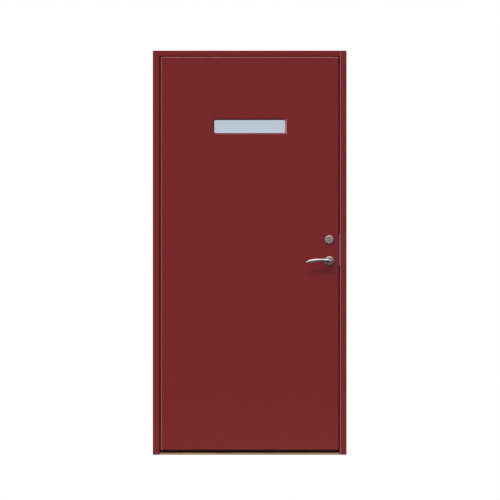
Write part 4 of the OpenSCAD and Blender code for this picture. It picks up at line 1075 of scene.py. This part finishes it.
@dataclass
class Handles(Assembly):
    """The levers inside and outside, their roses, and the bolts that clamp them."""

    axis_x: float = 407.0
    axis_z: float = 991.0
    outer_face: float = -50.0
    inner_face: float = 0.0
    length: float = 122.0
    reach: float = 48.0
    bend: float = 20.0
    hub_start: float = 1.0
    hub_radius: float = 10.5
    hub_edge: float = 0.4
    neck_start: float = 10.0
    neck_radius: float = 11.5
    neck_edge: float = 0.8
    neck_x: float = 30.0
    neck_half: float = 6.6
    rise: float = 4.4
    droop: float = 11.8
    belly: float = 9.9
    belly_x: float = 84.18
    grip_half: float = 6.0
    tip_half: float = 3.0
    tip_edge: float = 0.8
    tip_point: float = 0.6
    grub_out: float = 20.0
    grub_radius: float = 2.1
    pit_depth: float = 1.4
    pit_edge: float = 0.2
    edge_rows: int = 7
    neck_rows: int = 49
    bend_rows: int = 41
    grip_rows: int = 121
    columns: int = 96

    def finishes(self) -> Finishes:
        """Turns the roses, blackens the grub screws and plates the bolts."""
        return {LEVER_ROSE: ("outer_rose", "inner_rose"), PLASTIC: ("lever_grubs",), ZINC: ("rose_bolts",)}

    def _sections(self) -> np.ndarray:
        """Lists the lever's sections, from the hub's back face to the tip.

        A section has its distance along the lever, its distance out from the leaf and its turn, then
        its half height, half thickness and rise. The hub is round, and the wider neck starts on it with a
        quarter-round edge; the neck goes straight out, the bend follows a quarter circle, and the grip
        swells to its belly and thins to the tip, rising a little and then drooping by the power 1.6 of
        the way.

        Returns:
            One row per section, in millimetres and radians.
        """
        quarter = np.linspace(0.0, QUARTER_TURN, self.edge_rows)
        edge_out = self.neck_start + self.neck_edge * (1.0 - np.cos(quarter))
        edge_radius = self.neck_radius - self.neck_edge * (1.0 - np.sin(quarter))
        hub_out = np.concatenate(
            ([self.hub_start, self.hub_start + self.hub_edge, self.neck_start - 0.01], edge_out))
        hub_radius = np.concatenate(
            ([self.hub_radius - self.hub_edge, self.hub_radius, self.hub_radius], edge_radius))
        neck_out = np.linspace(edge_out[-1], self.reach - self.bend, self.neck_rows)[1:]
        bend = np.linspace(0.0, QUARTER_TURN, self.bend_rows)[1:]
        left = 1.0 - np.linspace(0.0, 1.0, self.grip_rows)[1:]
        grip = self.bend + (self.length - self.bend) * (1.0 - left ** 1.5)
        zero = np.zeros(len(hub_out) + len(neck_out))
        along = np.concatenate((zero, self.bend * (1.0 - np.cos(bend)), grip))
        out = np.concatenate((hub_out, neck_out, self.reach - self.bend * (1.0 - np.sin(bend)),
                              np.full(len(grip), self.reach)))
        turn = np.concatenate((zero, bend, np.full(len(grip), QUARTER_TURN)))
        to_neck = ease(along / self.neck_x)
        to_belly = ease((along - self.neck_x) / (self.belly_x - self.neck_x))
        to_tip = np.clip((along - self.belly_x) / (self.length - self.belly_x), 0.0, 1.0)
        past = np.clip((along - self.neck_x) / (self.length - self.neck_x), 0.0, 1.0)
        slim = self.neck_radius + (self.neck_half - self.neck_radius) * to_neck
        swell = self.neck_half + (self.belly - self.neck_half) * to_belly
        taper = np.maximum(self.tip_edge, self.belly * (1.0 - to_tip ** 2) ** 0.8)
        half = np.where(along < self.neck_x, slim, np.where(along < self.belly_x, swell, taper))
        thick = self.neck_radius + (self.grip_half - self.neck_radius) * to_neck
        thick = thick - (self.grip_half - self.tip_half) * to_tip ** 2
        half[:len(hub_out)] = hub_radius
        thick[:len(hub_out)] = hub_radius
        lift = self.rise * to_neck - self.droop * past ** 1.6
        return np.stack((along, out, turn, half, thick, lift), axis=-1)

    def build_lever(self, name: str, node: str, face: float, way: float, palette: Palette) -> None:
        """Carries an oval along the lever's line, with the grub screw's pit under the neck.

        A point at angle b of a section is thick cos b across and half sin b up. Across is turned from
        sideways to outwards by the section's turn. Within the pit, which a distance of ten times the way
        along the lever keeps to the neck, a point is drawn towards the axis by the pit's depth.

        Args:
            name: Name of the piece.
            node: The CAD node that it stands for.
            face: Y of the leaf's face on this side.
            way: -1 on the outside, 1 on the inside.
            palette: The finishes.
        """
        sections = self._sections()
        along, out, turn, half, thick, lift = (column[:, None] for column in sections.T)
        angle = np.linspace(0.0, FULL_TURN, self.columns, endpoint=False)[None, :]
        off = np.hypot(out - self.grub_out, half * (angle - 1.5 * np.pi)) + along * 10.0
        pit = self.pit_depth * (1.0 - ease((off - self.grub_radius + self.pit_edge) / (2.0 * self.pit_edge)))
        across = (thick - pit) * np.cos(angle)
        upward = lift + (half - pit) * np.sin(angle)
        x = across * np.cos(turn) - along
        z = out + across * np.sin(turn)
        rings = np.stack((x, np.broadcast_to(upward, x.shape), z), axis=-1)
        tip = rings[-1].mean(axis=0) + np.array([-self.tip_point, 0.0, 0.0])
        local = np.concatenate((rings.reshape(-1, 3), rings[:1].mean(axis=1), tip[None, :]))
        points = np.stack((self.axis_x + local[:, 0], face + way * local[:, 2], self.axis_z + local[:, 1]),
                          axis=-1) * MM
        piece = new_piece(name, points, tube_faces(len(sections), self.columns), crease=50.0)
        palette.paint(piece, LEVER_STEEL)
        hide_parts(node)
        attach(piece, "levers")

    def build(self, palette: Palette) -> None:
        """Builds both levers."""
        self.build_lever("outer_lever_grip", "outer_lever", self.outer_face, -1.0, palette)
        self.build_lever("inner_lever_grip", "inner_lever", self.inner_face, 1.0, palette)


@dataclass
class Studio:
    """Floor, world, lamps and the straight-on camera of the picture."""

    picture_width: float = 2.5545
    middle: tuple[float, float] = (0.0017, 1.0464)
    camera_y: float = -6.0
    key: Point = (0.2, 1.0, -1.17)
    key_strength: float = 1.3
    key_spread: float = 9.0
    side: Point = (0.72, 0.3, -0.62)
    side_strength: float = 1.85
    side_spread: float = 60.0
    lamp_distance: float = 4.0
    bright_way: Point = (-0.06, -0.15, 0.987)
    low_light: float = 0.06
    front_light: float = 0.5
    front_span: Span = (-0.35, 0.45)
    high_light: float = 2.35
    high_span: Span = (0.56, 0.93)
    hinge_light: float = 0.9
    hinge_span: Span = (-0.97, -0.55)
    back_light: float = 1.0
    back_span: Span = (0.0, 0.5)
    mirror_span: Span = (0.0, 0.1)
    floor_half: tuple[float, float] = (1.7, 0.9)
    floor_drop: float = 0.0005
    floor_points: int = 9
    floor_light: Rgb = (232.0, 232.0, 232.0)
    floor_dark: Rgb = (226.0, 226.0, 226.0)

    def build(self) -> None:
        """Builds the whole set."""
        self._floor()
        self._world()
        self._lamp("key_lamp", self.key, self.key_strength, self.key_spread)
        self._lamp("side_lamp", self.side, self.side_strength, self.side_spread)
        self._camera()

    def _floor(self) -> None:
        """Lays a pale floor just under the frame: a flat grid of points that fades out towards its rim."""
        across, deep = self.floor_half
        count = self.floor_points
        x, y = np.meshgrid(np.linspace(-across, across, count), np.linspace(-deep, deep, count), indexing="ij")
        points = np.stack((x, y, np.full_like(x, -self.floor_drop)), axis=-1).reshape(-1, 3)
        grid = np.arange(count * count).reshape(count, count)
        faces = np.stack((grid[:-1, :-1], grid[1:, :-1], grid[1:, 1:], grid[:-1, 1:]), axis=-1).reshape(-1, 4)
        mesh = bpy.data.meshes.new("floor")
        mesh.from_pydata(points.tolist(), [], faces.tolist())
        floor = bpy.data.objects.new("floor", mesh)
        bpy.context.collection.objects.link(floor)
        material = bpy.data.materials.new("floor")
        material.use_nodes = True
        shader = material.node_tree.nodes["Principled BSDF"]
        board = Board(material.node_tree)
        colour = board.blend(board.noise(board.place(), 1.5, detail=3.0), self.floor_dark, self.floor_light)
        spot = board.place((1.0 / across, 1.0 / deep, 0.0))
        reach = board.put("ShaderNodeVectorMath", {0: spot}, operation="LENGTH").outputs["Value"]
        seen = board.span(board.put("ShaderNodeLightPath").outputs["Is Camera Ray"], 0.0, 1.0, 0.1, 1.0)
        board.feed(shader, Base_Color=colour, Roughness=0.9, Specular_IOR_Level=0.1,
                   Alpha=board.times(board.fall(reach, 0.5, 1.0), seen))
        mesh.materials.append(material)

    def _world(self) -> None:
        """Lights the door from a studio that is bright overhead and on the hinge side, and dim below.

        Where the camera looks and through the glass it is white, and metal mirrors that white behind the door.
        """
        world = bpy.data.worlds.new("studio")
        world.use_nodes = True
        board = Board(world.node_tree)
        board.tree.nodes.clear()
        spot = board.put("ShaderNodeTexCoord").outputs["Generated"]
        part = board.split(spot)
        ends = {0: spot, 1: self.bright_way}
        toward = board.put("ShaderNodeVectorMath", ends, operation="DOT_PRODUCT").outputs["Value"]
        front = board.span(toward, *self.front_span, self.low_light, self.front_light)
        high = board.span(toward, *self.high_span, 0.0, self.high_light - self.front_light)
        hinge = board.fall(part["X"], *self.hinge_span, self.hinge_light)
        beside = board.math("ADD", board.math("ADD", front, high), hinge)
        level = board.most(beside, board.span(part["Y"], *self.back_span, 0.0, self.back_light))
        path = board.put("ShaderNodeLightPath").outputs
        mirrored = board.times(path["Is Glossy Ray"], board.span(part["Y"], *self.mirror_span))
        seen = board.most(path["Is Camera Ray"], path["Is Transmission Ray"])
        strength = board.most(level, board.most(seen, mirrored))
        light = board.put("ShaderNodeBackground", {"Color": (1.0, 1.0, 1.0, 1.0), "Strength": strength})
        board.put("ShaderNodeOutputWorld", {"Surface": light.outputs[0]})
        bpy.context.scene.world = world

    def _lamp(self, name: str, way: Point, strength: float, spread: float) -> None:
        """Adds a far lamp that no polished face mirrors.

        Args:
            name: Name of the lamp.
            way: Direction that its light travels.
            strength: Light on a surface square to it.
            spread: Angle in degrees that it fills in the sky.
        """
        light = bpy.data.lights.new(name, "SUN")
        light.energy = strength
        light.angle = math.radians(spread)
        lamp = bpy.data.objects.new(name, light)
        lamp.visible_glossy = False
        lamp.rotation_euler = Vector(way).to_track_quat("-Z", "Y").to_euler()
        lamp.location = -self.lamp_distance * Vector(way).normalized() + Vector((0.0, 0.0, 1.0))
        bpy.context.collection.objects.link(lamp)

    def _camera(self) -> None:
        """Sets the camera square to the door, without perspective."""
        lens = bpy.data.cameras.new("camera")
        lens.type = "ORTHO"
        lens.ortho_scale = self.picture_width
        camera = bpy.data.objects.new("camera", lens)
        camera.location = (self.middle[0], self.camera_y, self.middle[1])
        camera.rotation_euler = (math.pi / 2.0, 0.0, 0.0)
        bpy.context.collection.objects.link(camera)
        bpy.context.scene.camera = camera


def plain(box: tuple) -> list[list[float]]:
    """Turns a box's two corners into plain lists of numbers."""
    return [[float(value) for value in corner] for corner in box]


def main() -> None:
    """Loads the frame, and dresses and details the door."""
    logging.basicConfig(level=logging.INFO, format="%(name)s: %(message)s")
    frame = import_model()
    bpy.context.scene.view_settings.view_transform = "Standard"
    palette = Palette(Effects())
    parts: tuple[Assembly, ...] = (FrameSet(), HingeSet(), Leaf(), Lock(), Handles())
    for part in parts:
        part.dress(frame["nodes"], palette)
    for part in parts:
        part.build(palette)
    for part in parts:
        for screws in part.screws():
            screws.build(palette)
    Studio().build()


if __name__ == "__main__":
    main()
